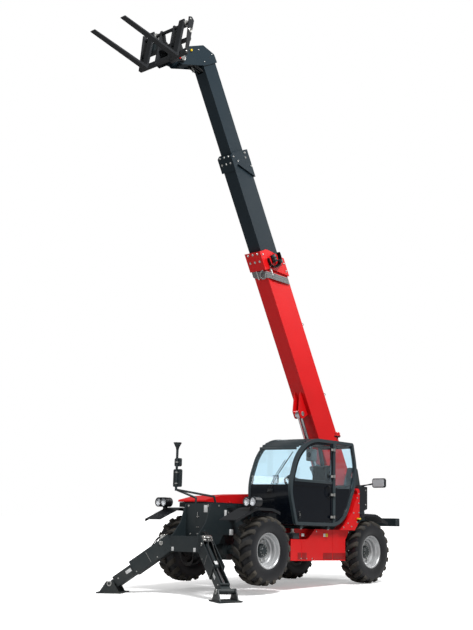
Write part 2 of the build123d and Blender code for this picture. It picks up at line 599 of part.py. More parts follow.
def ring(outline, y0, y1, wide):
    hoop = rounded(outline, y0) - offset(rounded(outline, y0), amount=-wide, kind=Kind.INTERSECTION)
    return extrude(hoop, amount=y1 - y0, dir=(0, 1, 0))


def cab_frame():
    """A hoop each side, and the door pillar in the outer one."""
    outer = ring(CAB_SIDE, CAB_Y1 - CAB_TUBE, CAB_Y1, TUBE_FACE)
    inner = ring(CAB_INSIDE, CAB_Y0, CAB_Y0 + CAB_TUBE, TUBE_FACE)
    x0, x1 = PILLAR_X - PILLAR / 2, PILLAR_X + PILLAR / 2
    pillar = box(x0, x1, CAB_Y1 - CAB_TUBE, CAB_Y1, CAB_FLOOR + TUBE_FACE - 2, CAB_ROOF - TUBE_FACE + 2)
    return outer + pillar, inner


def cut_to(outline, shape):
    """What of a shape lies within an XZ outline."""
    return shape & prism(outline, CAB_Y0 - 100, CAB_Y1 + 100)


WINDSCREEN_ROOM = [(300, WAIST), (1500, WAIST), (1500, OVER), (300, OVER)]
ROOF_ROOM = [(300, EAVES), (300, OVER), (-1500, OVER), (-1500, EAVES)]
REAR_GLASS_ROOM = [(-1500, REAR_WAIST), (-800, REAR_WAIST), (-800, EAVES), (-1500, EAVES)]


def side_sheet(outline, y, thick, x1, z0, z1):
    """A flat sheet within one hoop, between two heights and back from an X."""
    sheet = extrude(inset(outline, y, TUBE_FACE), amount=thick, dir=(0, 1, 0))
    return sheet & box(-1500, x1, 0, 2000, z0, z1)


def cab_panels():
    """The cab's skin below its windows, the quarter panel behind the door and the wall by the boom."""
    skin = cab_volume(0) - cab_volume(PANEL)
    for room in (WINDSCREEN_ROOM, ROOF_ROOM, REAR_GLASS_ROOM):
        skin -= prism(room, CAB_Y0, CAB_Y1)
    quarter = side_sheet(CAB_SIDE, CAB_Y1 - 45, 20, PILLAR_X - PILLAR / 2, 1000, RAIL_Z[0])
    wall = side_sheet(CAB_INSIDE, CAB_Y0 + 20, 20, 1500, 1000, SIDE_WAIST)
    return skin, quarter, wall


def cab_roof():
    return cut_to(ROOF_ROOM, cab_volume(0) - cab_volume(ROOF_SKIN))


def cab_glass():
    """Windscreen, rear window, quarter window and the window by the boom."""
    skin = cab_volume(4) - cab_volume(4 + GLASS)
    screen = cut_to(WINDSCREEN_ROOM, skin)
    rear = cut_to(REAR_GLASS_ROOM, skin)
    quarter = side_sheet(CAB_SIDE, CAB_Y1 - 40, GLASS, PILLAR_X - PILLAR / 2, RAIL_Z[0], OVER)
    wall = side_sheet(CAB_INSIDE, CAB_Y0 + 25, GLASS, 1500, SIDE_WAIST, OVER)
    return screen, rear, quarter, wall


SEAT_X, SEAT_Y = -220, 700


SEAT_HALF = 240
SEAT_Z = (1440, 1570)           # the cushion's underside and top


def cab_seat():
    """Pedestal, cushion and a leaning back."""
    y0, y1 = SEAT_Y - SEAT_HALF, SEAT_Y + SEAT_HALF
    low, top = SEAT_Z
    pedestal = box(SEAT_X - 20, SEAT_X + 200, y0 + 60, y1 - 60, CAB_FLOOR + PANEL, low)
    rear, front = SEAT_X - 250, SEAT_X + 250
    cushion = [(rear, low), (rear, top), (front, top, 45), (front, low, 30)]
    back = [(rear, top), (rear + 120, top), (rear + 40, 2250, 45), (rear - 60, 2250, 45)]
    return pedestal + prism(cushion, y0, y1) + prism(back, y0, y1)


COLUMN = ((630, 1470), (376, 1819))     # x, z of the steering column's two ends


def cab_controls():
    """Dash, steering column and the wheel's hoop with its spoke."""
    base = CAB_FLOOR + PANEL
    (x0, z0), (x1, z1) = COLUMN
    dash = [(600, base), (780, base), (850, 1500), (850, 1700, 40), (700, 1720, 60), (600, 1500)]
    column = rod((x0, SEAT_Y, z0), (x1, SEAT_Y, z1), 30)
    hoop = Cylinder(205, 26) - Cylinder(178, 30) + Box(370, 40, 16)
    square = Plane(origin=(x1 - 1, SEAT_Y, z1 + 1), z_dir=(x1 - x0, 0, z1 - z0 + 1)).location
    return prism(dash, 420, 1000) + column + square * hoop


HINGE_X, HINGE_Y = -290, CAB_Y1 + 17
HINGE_HEIGHTS = (CAB_FLOOR + 170, RAIL_Z[0] - 130, RAIL_Z[1] + 120, CAB_ROOF - 180)
HINGE_HALF = 25
HINGE_PIN = 8
DOOR_GAP = CLEAR


def door_solid(y0, y1, by):
    shape = extrude(inset(CAB_SIDE, y0, TUBE_FACE + DOOR_GAP + by), amount=y1 - y0, dir=(0, 1, 0))
    return shape & box(PILLAR_X + PILLAR / 2 + DOOR_GAP + by, 2000, 0, 2000, 0, OVER)


def door_frame():
    """Door with its waist rail, lower panel and hinge straps."""
    y0, y1 = CAB_Y1 - 50, CAB_Y1 - 12
    frame = door_solid(y0, y1, 0) - door_solid(y0 - 1, y1 + 1, 40)
    frame += door_solid(y0, y1, 10) & box(-1000, 2000, 0, 2000, *RAIL_Z)
    frame += door_solid(y0 + 8, y0 + 26, 10) & box(-1000, 2000, 0, 2000, 0, RAIL_Z[0] + 10)
    for z in HINGE_HEIGHTS:
        low, top = z - HINGE_HALF, z + HINGE_HALF
        frame += box(HINGE_X, HINGE_X + 110, CAB_Y1 + 2, CAB_Y1 + 12, low, top)
        frame += box(HINGE_X + 50, HINGE_X + 110, y1 - 1, CAB_Y1 + 12, low, top)
        frame += rod((HINGE_X, HINGE_Y, low), (HINGE_X, HINGE_Y, top), HINGE_PIN + 7)
        frame -= rod((HINGE_X, HINGE_Y, low - 1), (HINGE_X, HINGE_Y, top + 1), HINGE_PIN + 0.05)
    return frame


def door_glass():
    y0 = CAB_Y1 - 35
    return door_solid(y0, y0 + GLASS, 40) & box(-1000, 2000, 0, 2000, RAIL_Z[1], OVER)


def hinge_pins():
    shape = []
    for z in HINGE_HEIGHTS:
        low = z - HINGE_HALF - 20
        pin = rod((HINGE_X, HINGE_Y, low), (HINGE_X, HINGE_Y, z + HINGE_HALF - 1), HINGE_PIN)
        foot_of_pin = box(HINGE_X - 18, HINGE_X + 14, CAB_Y1 - 1, HINGE_Y + 12, low, z - HINGE_HALF - 2)
        shape.append(pin + foot_of_pin)
    return shape


# ---- boom ---------------------------------------------------------------------------------------------
def tube(ends, section):
    wide, high, wall = section
    return box(ends[0], ends[1], -wide / 2, wide / 2, -high / 2, high / 2) \
        - box(ends[0] - 1, ends[1] + 1, wall - wide / 2, wide / 2 - wall, wall - high / 2, high / 2 - wall)


COLLAR = 30
LIFT_LUG = 88                   # reach of the lift eye's lugs round its pin
LIFT_LUG_Y = (57, 85)
PAD_Y = 90


def collar(outline, section):
    wide, high, wall = section
    block = prism(outline, -wide / 2 - COLLAR, wide / 2 + COLLAR)
    far = 2 * SECTION_3_ENDS[1]
    return block - box(-far, far, -wide / 2 + 1, wide / 2 - 1, -high / 2 + 1, high / 2 - 1)


def pads(l0, l1, outer, inner, ways):
    """Sliding pads held by the outer section, above (1) and below (-1) the inner one."""
    room, reach = outer[1] / 2 - outer[2], inner[1] / 2
    return [box(l0, l1, -PAD_Y, PAD_Y, way * (reach + 0.3), way * (room + 1)) for way in ways]


def tail_pads(start, section, outer):
    """Pads on a section's own tail, that run inside the outer one."""
    room = outer[1] / 2 - outer[2]
    return [box(start + 20, start + 300, -PAD_Y, PAD_Y, way * (section[1] / 2 - 1), way * (room - 0.3))
            for way in (1, -1)]


def boom_section_1():
    """Outer section with its collar, the lift cylinder's lugs and the tail that turns on the frame."""
    end, top = SECTION_1_ENDS[1], SECTION_1[1] / 2 + 23
    foot = -SECTION_1[1] / 2 - 40
    outline = [(end - 360, foot), (end + 20, foot), (end - 20, -85), (end - 320, top), (end - 700, top),
               (end - 380, -190)]
    shape = tube(SECTION_1_ENDS, SECTION_1)
    shape -= prism([(end + 1, -100), (end - 310, top + 2), (end + 1, top + 2)], -300, 300)
    shape += collar(outline, SECTION_1)
    shape += pads(end - 330, end - 60, SECTION_1, SECTION_2, (-1, ))
    shape += pads(end - 700, end - 450, SECTION_1, SECTION_2, (1, ))
    skin, low = 5 - SECTION_1[1] / 2, LIFT_EYE_H - LIFT_LUG
    lug = [(LIFT_EYE_L - LIFT_LUG, skin), (LIFT_EYE_L - LIFT_LUG, low, 60), (LIFT_EYE_L + LIFT_LUG, low, 60),
           (LIFT_EYE_L + 430, skin)]
    for side in (1, -1):
        shape += prism(lug, side * LIFT_LUG_Y[0], side * LIFT_LUG_Y[1])
    inside, over = PLATE_Y - PLATE - CLEAR, PLATE_Y + 14
    shape += rod((BOOM_PIVOT_L, -inside, BOOM_PIVOT_H), (BOOM_PIVOT_L, inside, BOOM_PIVOT_H), BOOM_PIN + 28)
    return shape + rod((BOOM_PIVOT_L, -over, BOOM_PIVOT_H), (BOOM_PIVOT_L, over, BOOM_PIVOT_H), BOOM_PIN)


def boom_section_2():
    """Middle section with its collar and pads."""
    end, top, foot = SECTION_2_ENDS[1], SECTION_2[1] / 2 + 27, -SECTION_2[1] / 2 - 30
    outline = [(end - 310, foot), (end - 20, foot), (end + 30, -190), (end, top), (end - 560, top),
               (end - 210, -140)]
    shape = tube(SECTION_2_ENDS, SECTION_2) + collar(outline, SECTION_2)
    shape += pads(end - 260, end - 40, SECTION_2, SECTION_3, (1, -1))
    return shape + tail_pads(SECTION_2_ENDS[0], SECTION_2, SECTION_1)


HEAD_PLATE = 20
TOOL_PIN = 35
TILT_PIN = 24


def boom_section_3():
    """Inner section with the drooped head that carries the fork carriage."""
    wide, high, wall = SECTION_3
    end, edge, inside = SECTION_3_ENDS[1], high / 2 + 35, wide / 2
    shape = tube(SECTION_3_ENDS, SECTION_3)
    shape -= box(end - 150, end + 80, -75, 75, -high / 2 - 1, 0)
    plate = [(end - 30, edge), (end + 130, edge - 10, 40), (end + 345, -30, 40), (end + 385, -460),
             (TOOL_PIVOT_L + 123, TOOL_PIVOT_H - 49, 60), (TOOL_PIVOT_L, TOOL_PIVOT_H - 99, 90),
             (TOOL_PIVOT_L - 117, TOOL_PIVOT_H - 39, 60), (end + 40, -520), (end - 30, -high / 2)]
    for side in (1, -1):
        shape += prism(plate, side * (inside - 1), side * (inside + HEAD_PLATE))
    skin = [(end - 30, edge), (end + 130, edge - 10, 40), (end + 345, -30, 40), (end + 378, -385),
            (end + 362, -385), (end + 329, -38, 30), (end + 120, edge - 26, 30), (end - 30, edge - 16)]
    shape += prism(skin, -inside, inside)
    shape += prism([(end + 40, -520), (end + 56, -520), (end + 106, -660), (end + 88, -660)], -inside, inside)
    shape -= cross_rod(TOOL_PIVOT_L, TOOL_PIVOT_H, -200, 200, TOOL_PIN + 0.05)
    x, z = TILT_BASE_L, TILT_BASE_H
    for side in (1, -1):
        shape += prism([(x - 90, z - 80), (x - 90, z + 60), (x + 60, z + 60), (x + 60, z - 80)],
                       side * 60, side * (inside - wall + 1))
    return shape + tail_pads(SECTION_3_ENDS[0], SECTION_3, SECTION_2) + cross_rod(x, z, -70, 70, TILT_PIN)


def cylinder_parts(base, eye, lengths, radii, eyes, width, pin):
    """A hydraulic cylinder between two XZ points; lengths, radii and eyes are (barrel's, rod's)."""
    dx, dz = eye[0] - base[0], eye[1] - base[1]
    length = math.hypot(dx, dz)
    lie = Pos(base[0], 0, base[1]) * Rot(0, -math.degrees(math.atan2(dz, dx)), 0)
    half, end, eye = width / 2, lengths[0], eyes[0]
    barrel = rod((eye + 6, 0, 0), (end, 0, 0), radii[0]) + cross_rod(0, 0, -half, half, eye)
    barrel += box(0, eye + 10, -half, half, -eye * 0.7, eye * 0.7)
    barrel += rod((end - 60, 0, 0), (end, 0, 0), radii[0] + 12)
    barrel -= rod((eye + 22, 0, 0), (end + 1, 0, 0), radii[1] + 0.3)
    barrel -= cross_rod(0, 0, -width, width, pin + 0.05)
    bar = rod((length - lengths[1], 0, 0), (length, 0, 0), radii[1])
    bar += Pos(length, 0, 0) * cross_rod(0, 0, -half, half, eyes[1])
    return lie * barrel, lie * bar


# ---- carriage and forks -------------------------------------------------------------------------------
FORK_SHAFT = (300, 450)         # x, z of the shaft that the forks hang on, from the tool's pivot
FORK_SHAFT_RADIUS = 32
TILT_EYE = (120, 260)           # x, z of the tilt rod's eye


def carriage():
    """Fork carriage: shaft, two cross bars, and plates at its middle and ends."""
    side = [(-80, -60, 50), (-50, 90, 60), (170, 330), (240, 500, 30), (350, 500, 30), (335, -230),
            (200, -250, 30), (40, -90, 60)]
    inner, half = SECTION_3[0] / 2 + HEAD_PLATE + CLEAR, CARRIAGE_HALF
    shape = cross_rod(*FORK_SHAFT, -half, half, FORK_SHAFT_RADIUS)
    shape += box(250, 310, -half, half, 60, 120) + box(250, 325, -half, half, -230, -150)
    for y in (inner, -inner - 25):
        shape += prism(side, y, y + 25)
    end_plate = [(262, -235), (322, -235), (392, 500), (330, 530, 20), (262, 486)]
    for y in (half - 20, -half):
        shape += prism(end_plate, y, y + 20)
    x, z = TILT_EYE
    ear = [(x - 40, z - 30, 40), (x - 40, z + 40, 40), (x + 30, z + 50, 40), (300, 120), (260, 60)]
    for y in (TILT_WIDTH / 2 + 10, -TILT_WIDTH / 2 - 35):
        shape += prism(ear, y, y + 25)
    shape += cross_rod(0, 0, -inner - 40, inner + 40, TOOL_PIN)
    return shape


def forks():
    """Two forks with their hooks over the shaft."""
    x, z = FORK_SHAFT
    tip = FORK_LENGTH + 465
    shank = [(x + 31, -225), (x + 31, z - 50), (x + 45, z + 70, 14), (x + 81, z + 70, 14), (x + 81, -215, 12),
             (x + 140, -226), (tip, -246), (tip, -262), (x + 45, -272, 14)]
    shapes = []
    for y in (FORK_Y, -FORK_Y):
        fork = prism(shank, y - 60, y + 60) + cross_rod(x, z, y - 60, y + 60, FORK_SHAFT_RADIUS + 28)
        fork += box(x, x + 62, y - 60, y + 60, z - 40, z + 40)
        shapes.append(fork - cross_rod(x, z, y - 61, y + 61, FORK_SHAFT_RADIUS + 0.3))
    return shapes


# ---- mirrors and beacon -------------------------------------------------------------------------------
def bent_tube(points, radius):
    """Straight runs of round tube with a ball at each bend."""
    shape = rod(points[0], points[1], radius)
    for first, last in zip(points[1:], points[2:]):
        shape += Pos(*first) * Sphere(radius)
        shape += rod(first, last, radius)
    return shape


MAST_FOOT = (NOSE_X - 20, -600, NOSE_TOP + 250)
MAST_ARMS = [                   # each arm's foot on the nose, and its bend
    ((NOSE_X - 230, -290, NOSE_TOP + 5), (NOSE_X - 240, -300, NOSE_TOP + 110)),
    ((NOSE_X - 230, 200, NOSE_TOP + 9), (NOSE_X - 190, 200, NOSE_TOP + 125)),
]
MAST_MIRRORS = [                # half width, then the foot and top above the arms' joint
    (100, 50, 370), (80, 420, 570),
]


def mirror_case(x0, x1, y0, y1, z0, z1, radius):
    """A mirror's case with its corners rounded."""
    return fillet(box(x0, x1, y0, y1, z0, z1).edges().filter_by(Axis.X), radius)


def mirror_mast():
    """Two arms from the nose to an upright with two mirrors and a cone lamp."""
    x, y, z = MAST_FOOT
    shape = Pos(x, y, z + 790) * Cone(20, 75, 110) + rod((x, y, z - 19), (x, y, z + 740), 23)
    for foot, bend in MAST_ARMS:
        shape += bent_tube([foot, bend, MAST_FOOT], 19)
        shape += box(foot[0] - 35, foot[0] + 35, foot[1] - 28, foot[1] + 28, NOSE_TOP, NOSE_TOP + 14)
    shape -= box(NOSE_X - 300, NOSE_X - 100, -330, 330, NOSE_TOP - 90, NOSE_TOP)
    for half, low, top in MAST_MIRRORS:
        shape += mirror_case(x - 50, x - 15, y - half, y + half, z + low, z + top, 30)
    return shape


def rear_mirror():
    """Mirror on a V of two rods, from a foot on the tank."""
    x, z = REAR + 95, TANK_TOP
    shape = rod((x, 800, z + 15), (x, 1250, z + 50), 11) + rod((x, 960, z + 15), (x, 1250, z + 70), 11)
    shape += box(x - 25, x + 15, 780, 985, z, z + 22)
    return shape + mirror_case(x - 25, x + 15, 1200, 1500, z - 20, z + 160, 40)


BEACON = (-880, 760)            # x, y of the beacon


def beacon():
    """Warning light on a post from the roof: a base plate and a dome."""
    x, y = BEACON
    shape = rod((x, y, CAB_ROOF + 1), (x, y, CAB_ROOF + 140), 18)
    shape += rod((x, y, CAB_ROOF + 140), (x, y, CAB_ROOF + 170), 60)
    dome = Cylinder(50, 61)
    return shape + Pos(x, y, CAB_ROOF + 200) * fillet(dome.edges().sort_by(Axis.Z)[-1], 24)


def main():
    save("main_frame", main_frame())
    save("stabiliser_frame", stabiliser_frame())
    left_leg = ALONG_LEG * leg()
    save("leg_left", left_leg)
    save("leg_right", mirrored(left_leg))
    save("foot_left", foot())
    save("foot_right", mirrored(foot()))
    for name, x in (("front", FRONT), ("rear", REAR)):
        save(f"{name}_axle", axle(x))
        for hand, side in (("left", 1), ("right", -1)):
            save(f"knuckle_{name}_{hand}", knuckle(x, side))
            save(f"rim_{name}_{hand}", rim(x, side))
            save(f"tyre_{name}_{hand}", tyre(x, side))
    save("side_box", side_box())
    save("rear_bodywork", rear_bodywork())
    save("rear_tank", rear_tank())
    save("rear_bar", rear_bar())
    save("engine_housing", engine_housing(), *hood_pins())
    save("engine_block", engine_block())
    save("engine_hood", engine_hood())
    save("fenders", *[wing for left in (front_fender(), rear_fender()) for wing in (left, mirrored(left))])
    save("lamps", *lamps())
    save("cab_frame", *cab_frame(), *hinge_pins())
    save("cab_panels", *cab_panels())
    save("cab_roof", cab_roof())
    save("cab_glass", *cab_glass())
    save("cab_seat", cab_seat())
    save("cab_controls", cab_controls())
    save("door_frame", door_frame())
    save("door_glass", door_glass())
    save("mirror_mast", mirror_mast())
    save("rear_mirror", rear_mirror())
    save("beacon", beacon())
    save("boom_section_1", ON_BOOM * boom_section_1())
    save("boom_section_2", ON_BOOM * boom_section_2())
    save("boom_section_3", ON_BOOM * boom_section_3())
    save("carriage", ON_TOOL * carriage())
    save("forks", *[ON_TOOL * fork for fork in forks()])
    barrel, bar = cylinder_parts(LIFT_BASE, boom_point(LIFT_EYE_L, LIFT_EYE_H), LIFT_LENGTHS,
                                 (LIFT_BARREL_RADIUS, LIFT_ROD_RADIUS), (90, 85), LIFT_WIDTH, LIFT_PIN)
    save("lift_barrel", barrel)
    save("lift_rod", bar)
    eye = (ON_TOOL * Pos(TILT_EYE[0], 0, TILT_EYE[1])).position
    barrel, bar = cylinder_parts(boom_point(TILT_BASE_L, TILT_BASE_H), (eye.X, eye.Z), TILT_LENGTHS,
                                 (45, 26), (44, 44), TILT_WIDTH, TILT_PIN)
    save("tilt_barrel", barrel)
    save("tilt_rod", bar)


main()
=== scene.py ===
import json
import math

import bmesh
import bpy
from bpy.props import FloatProperty, FloatVectorProperty, IntProperty, PointerProperty
from mathutils import Matrix, Vector


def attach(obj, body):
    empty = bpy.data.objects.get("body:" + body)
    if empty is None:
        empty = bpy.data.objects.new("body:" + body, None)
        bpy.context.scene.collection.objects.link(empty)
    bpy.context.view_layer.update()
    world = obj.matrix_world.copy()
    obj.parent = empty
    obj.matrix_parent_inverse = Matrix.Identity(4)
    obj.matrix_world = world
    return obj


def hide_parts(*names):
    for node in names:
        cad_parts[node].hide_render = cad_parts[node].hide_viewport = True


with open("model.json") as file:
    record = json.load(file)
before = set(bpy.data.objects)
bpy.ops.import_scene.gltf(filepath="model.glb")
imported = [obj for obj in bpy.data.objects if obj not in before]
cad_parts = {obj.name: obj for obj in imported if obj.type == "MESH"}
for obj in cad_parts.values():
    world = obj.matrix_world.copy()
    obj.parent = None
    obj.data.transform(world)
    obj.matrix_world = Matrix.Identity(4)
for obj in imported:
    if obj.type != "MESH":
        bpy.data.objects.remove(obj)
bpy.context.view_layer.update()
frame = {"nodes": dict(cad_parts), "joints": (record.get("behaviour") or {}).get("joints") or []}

bl_info = {
    "name": "Telehandler Dressing",
    "version": (1, 0, 0),
    "blender": (4, 5, 0),
    "location": "3D View > Sidebar > Telehandler",
    "description": "Dresses the packed telehandler with tyres, lamps, glass, hoses, fittings and paint",
    "category": "Object",
}

# ---- places on the machine ----
# Metres. A piece is modelled on the level machine, on its boom, its fork carriage or a stabiliser leg, and
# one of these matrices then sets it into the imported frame.
JOINTS = {joint["name"]: joint for joint in frame["joints"]}
AXLE_X, KINGPIN_Y, AXLE_Z = 1.545, 0.655, 0.6
BOOM_TAIL = (-0.25, 0, 0.2)
FORK_TILT = math.radians(10.7)
LEG_TOP, FOOT_PIN = Vector((2.45, 0.42, 0.69)), Vector((2.919, 1.367, -0.036))
MIRROR = {1: Matrix.Identity(4), -1: Matrix.Scale(-1, 4, (0, 1, 0))}


def _turn_y(angle):
    return Matrix.Rotation(-angle, 4, "Y")


def _shift(x, y, z):
    return Matrix.Translation((x, y, z))


_up = JOINTS["steer_front_left"]["axis"]
STANCE = math.atan2(-_up[0], _up[2])
GROUND = (Matrix.Translation(JOINTS["steer_front_left"]["pos_m"]) @ _turn_y(STANCE)
          @ _shift(-AXLE_X, -KINGPIN_Y, -AXLE_Z))
_along = JOINTS["boom_extend_2"]["axis"]
BOOM = (Matrix.Translation(JOINTS["boom_lift"]["pos_m"]) @ _turn_y(math.atan2(_along[2], _along[0]))
        @ _shift(*[-v for v in BOOM_TAIL]))
TOOL = Matrix.Translation(JOINTS["fork_tilt"]["pos_m"]) @ _turn_y(FORK_TILT + STANCE)


def _leg_place():
    """Local X runs down the left leg, Z up and out of its open face."""
    run = (FOOT_PIN - LEG_TOP).normalized()
    out = Vector((run.x, run.y, 0)).normalized()
    side = Vector((out.y, -out.x, 0))
    open_face = side.cross(run)
    axes = Matrix((run, open_face.cross(run), open_face)).transposed().to_4x4()
    return Matrix.Translation(LEG_TOP) @ axes


LEG = {side: GROUND @ MIRROR[side] @ _leg_place() for side in (1, -1)}
LEG_LENGTH = (FOOT_PIN - LEG_TOP).length
SIDES = {"left": 1, "right": -1}
CORNERS = {f"{end}_{hand}": (x, side) for end, x in (("front", AXLE_X), ("rear", -AXLE_X))
           for hand, side in SIDES.items()}


# ---- mesh and object helpers ----
def to_mesh(name, bm):
    """A new mesh from a bmesh, which is freed."""
    mesh = bpy.data.meshes.new(name)
    bm.to_mesh(mesh)
    bm.free()
    return mesh


def add_object(name, data):
    made = bpy.data.objects.new(name, data)
    bpy.context.scene.collection.objects.link(made)
    return made


# ---- bmesh helpers: each adds one shape and gives it a finish number ----
def tint(verts, finish):
    for vert in verts:
        for face in vert.link_faces:
            face.material_index = finish


def soften(bm, verts, width, segments=2):
    """Round the edges between some vertices."""
    edges = {edge for vert in verts for edge in vert.link_edges}
    edges = [edge for edge in edges if edge.calc_face_angle(0) > 0.3]
    if width and edges:
        bmesh.ops.bevel(bm, geom=edges, offset=width, offset_type="OFFSET", segments=segments, profile=0.5,
                        affect="EDGES", material=-1, clamp_overlap=True)


def cuboid(bm, corner, opposite, finish, place=None):
    """Sharp box between two opposite corners; returns its vertices."""
    size = [abs(b - a) for a, b in zip(corner, opposite)]
    middle = [(a + b) / 2 for a, b in zip(corner, opposite)]
    matrix = (place or Matrix.Identity(4)) @ _shift(*middle) @ Matrix.Diagonal((*size, 1))
    verts = bmesh.ops.create_cube(bm, size=1, matrix=matrix)["verts"]
    tint(verts, finish)
    return verts


def block(bm, low, high, width=0.0, finish=0, place=None):
    """Box between two opposite corners, with all its edges rounded."""
    soften(bm, cuboid(bm, low, high, finish, place), width)


def pane(bm, low, high, corner, finish=0):
    """Slab square to X with rounded corners."""
    edges = {edge for vert in cuboid(bm, low, high, finish) for edge in vert.link_edges}
    edges = [e for e in edges if (e.verts[0].co - e.verts[1].co).yz.length < 1e-5]
    bmesh.ops.bevel(bm, geom=edges, offset=corner, offset_type="OFFSET", segments=5, profile=0.5,
                    affect="EDGES", material=-1)


def bar(bm, start, end, radius, finish=0, sides=20, width=0.0):
    """Round bar between two points; with six sides, a hexagon."""
    start, end = Vector(start), Vector(end)
    along = end - start
    matrix = Matrix.Translation((start + end) / 2) @ along.to_track_quat("Z", "Y").to_matrix().to_4x4()
    verts = bmesh.ops.create_cone(bm, cap_ends=True, segments=sides, radius1=radius, radius2=radius,
                                  depth=along.length, matrix=matrix)["verts"]
    tint(verts, finish)
    if width:
        soften(bm, verts, width)


def turned(bm, profile, middle, axis, finish=0, steps=48, closed=False):
    """Solid of revolution; the profile's points are (along the axis, radius)."""
    middle, axis = Vector(middle), Vector(axis).normalized()
    turn = axis.to_track_quat("Z", "Y").to_matrix()
    verts = [bm.verts.new(middle + turn @ Vector((r, 0, a))) for a, r in profile]
    pairs = list(zip(verts, verts[1:])) + ([(verts[-1], verts[0])] if closed else [])
    edges = [bm.edges.new(pair) for pair in pairs]
    made = bmesh.ops.spin(bm, geom=verts + edges, cent=middle, axis=axis, angle=2 * math.pi, steps=steps,
                          use_merge=True)
    faces = {f for v in verts for f in v.link_faces}
    grown = set(faces)
    while faces:
        faces = {f for face in faces for v in face.verts for f in v.link_faces} - grown
        grown |= faces
    verts = list({v for face in grown for v in face.verts})
    bmesh.ops.remove_doubles(bm, verts=verts, dist=1e-5)
    tint([v for v in verts if v.is_valid], finish)


def circle(middle, radius, steps):
    """Profile of a ring: a circle whose middle is some way from the axis."""
    turns = [2 * math.pi * i / steps for i in range(steps)]
    return [(radius * math.cos(turn), middle + radius * math.sin(turn)) for turn in turns]


def bolt(bm, at, outward, radius=0.012, height=0.009, finish=0):
    """Hexagon head on its washer."""
    at, outward = Vector(at), Vector(outward).normalized()
    bar(bm, at, at + outward * 0.003, radius * 1.45, finish, 16)
    bar(bm, at + outward * 0.003, at + outward * (0.003 + height), radius, finish, 6, 0.0012)


def hose(bm, points, radius, finish=0, sides=3):
    """Round hose along a smooth line through a few points."""
    curve = bpy.data.curves.new("hose", "CURVE")
    curve.dimensions = "3D"
    curve.bevel_depth = radius
    curve.bevel_resolution = sides
    curve.use_fill_caps = True
    spline = curve.splines.new("NURBS")
    spline.points.add(len(points) - 1)
    for point, place in zip(spline.points, points):
        point.co = (*place, 1)
    spline.resolution_u = 6
    spline.order_u = 3
    spline.use_endpoint_u = True
    holder = bpy.data.objects.new("hose", curve)
    mesh = bpy.data.meshes.new_from_object(holder)
    for polygon in mesh.polygons:
        polygon.material_index = finish
    bm.from_mesh(mesh)
    bpy.data.objects.remove(holder)
    bpy.data.curves.remove(curve)
    bpy.data.meshes.remove(mesh)


def make(name, bm, body, finishes, place=GROUND, sharp=38.0, replaced=()):
    """Turn a bmesh into a finished piece on a body."""
    if not bm.faces:
        raise RuntimeError(f"{name} has no faces")
    bmesh.ops.recalc_face_normals(bm, faces=bm.faces[:])
    mesh = to_mesh(name, bm)
    mesh.transform(place)
    if place.determinant() < 0:
        mesh.flip_normals()
    mesh.shade_smooth()
    mesh.set_sharp_from_angle(angle=math.radians(sharp))
    piece = add_object(name, mesh)
    for finish in finishes:
        mesh.materials.append(paint(finish))
    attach(piece, body)
    if replaced:
        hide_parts(*replaced)
    return piece


# ---- shader node groups ----
COLOUR, VALUE = "NodeSocketColor", "NodeSocketFloat"


def new_group(name, inputs, outputs):
    """A shader group with its sockets; returns it with its input and output nodes."""
    group = bpy.data.node_groups.new(name, "ShaderNodeTree")
    for label, kind, value in inputs:
        socket = group.interface.new_socket(label, in_out="INPUT", socket_type=kind)
        socket.default_value = value
    for label, kind in outputs:
        group.interface.new_socket(label, in_out="OUTPUT", socket_type=kind)
    return group, group.nodes.new("NodeGroupInput"), group.nodes.new("NodeGroupOutput")


def node(tree, kind, **settings):
    """A node with some properties, or values of its sockets, set."""
    made = tree.nodes.new(kind)
    for key, value in settings.items():
        if hasattr(made, key):
            setattr(made, key, value)
        else:
            made.inputs[key.replace("_", " ")].default_value = value
    return made


def math_node(tree, operation, first, second, clamp=False):
    made = tree.nodes.new("ShaderNodeMath")
    made.operation, made.use_clamp = operation, clamp
    for socket, value in zip(made.inputs, (first, second)):
        if isinstance(value, (int, float)):
            socket.default_value = value
        else:
            tree.links.new(value, socket)
    return made.outputs[0]


def noise(tree, coordinates, scale, detail=3.0, rough=0.55):
    made = node(tree, "ShaderNodeTexNoise", Scale=scale, Detail=detail, Roughness=rough)
    tree.links.new(coordinates, made.inputs["Vector"])
    return made.outputs["Fac"]


def spread(tree, value, low, high, to_low=0.0, to_high=1.0):
    """Map a range of values onto another, clamped."""
    made = node(tree, "ShaderNodeMapRange", From_Min=low, From_Max=high, To_Min=to_low, To_Max=to_high)
    tree.links.new(value, made.inputs["Value"])
    return made.outputs["Result"]


def blend_colour(tree, mask, first, second):
    made = tree.nodes.new("ShaderNodeMix")
    made.data_type = "RGBA"
    tree.links.new(mask, made.inputs[0])
    for socket, value in ((made.inputs[6], first), (made.inputs[7], second)):
        if isinstance(value, tuple):
            socket.default_value = value
        else:
            tree.links.new(value, socket)
    return made.outputs[2]


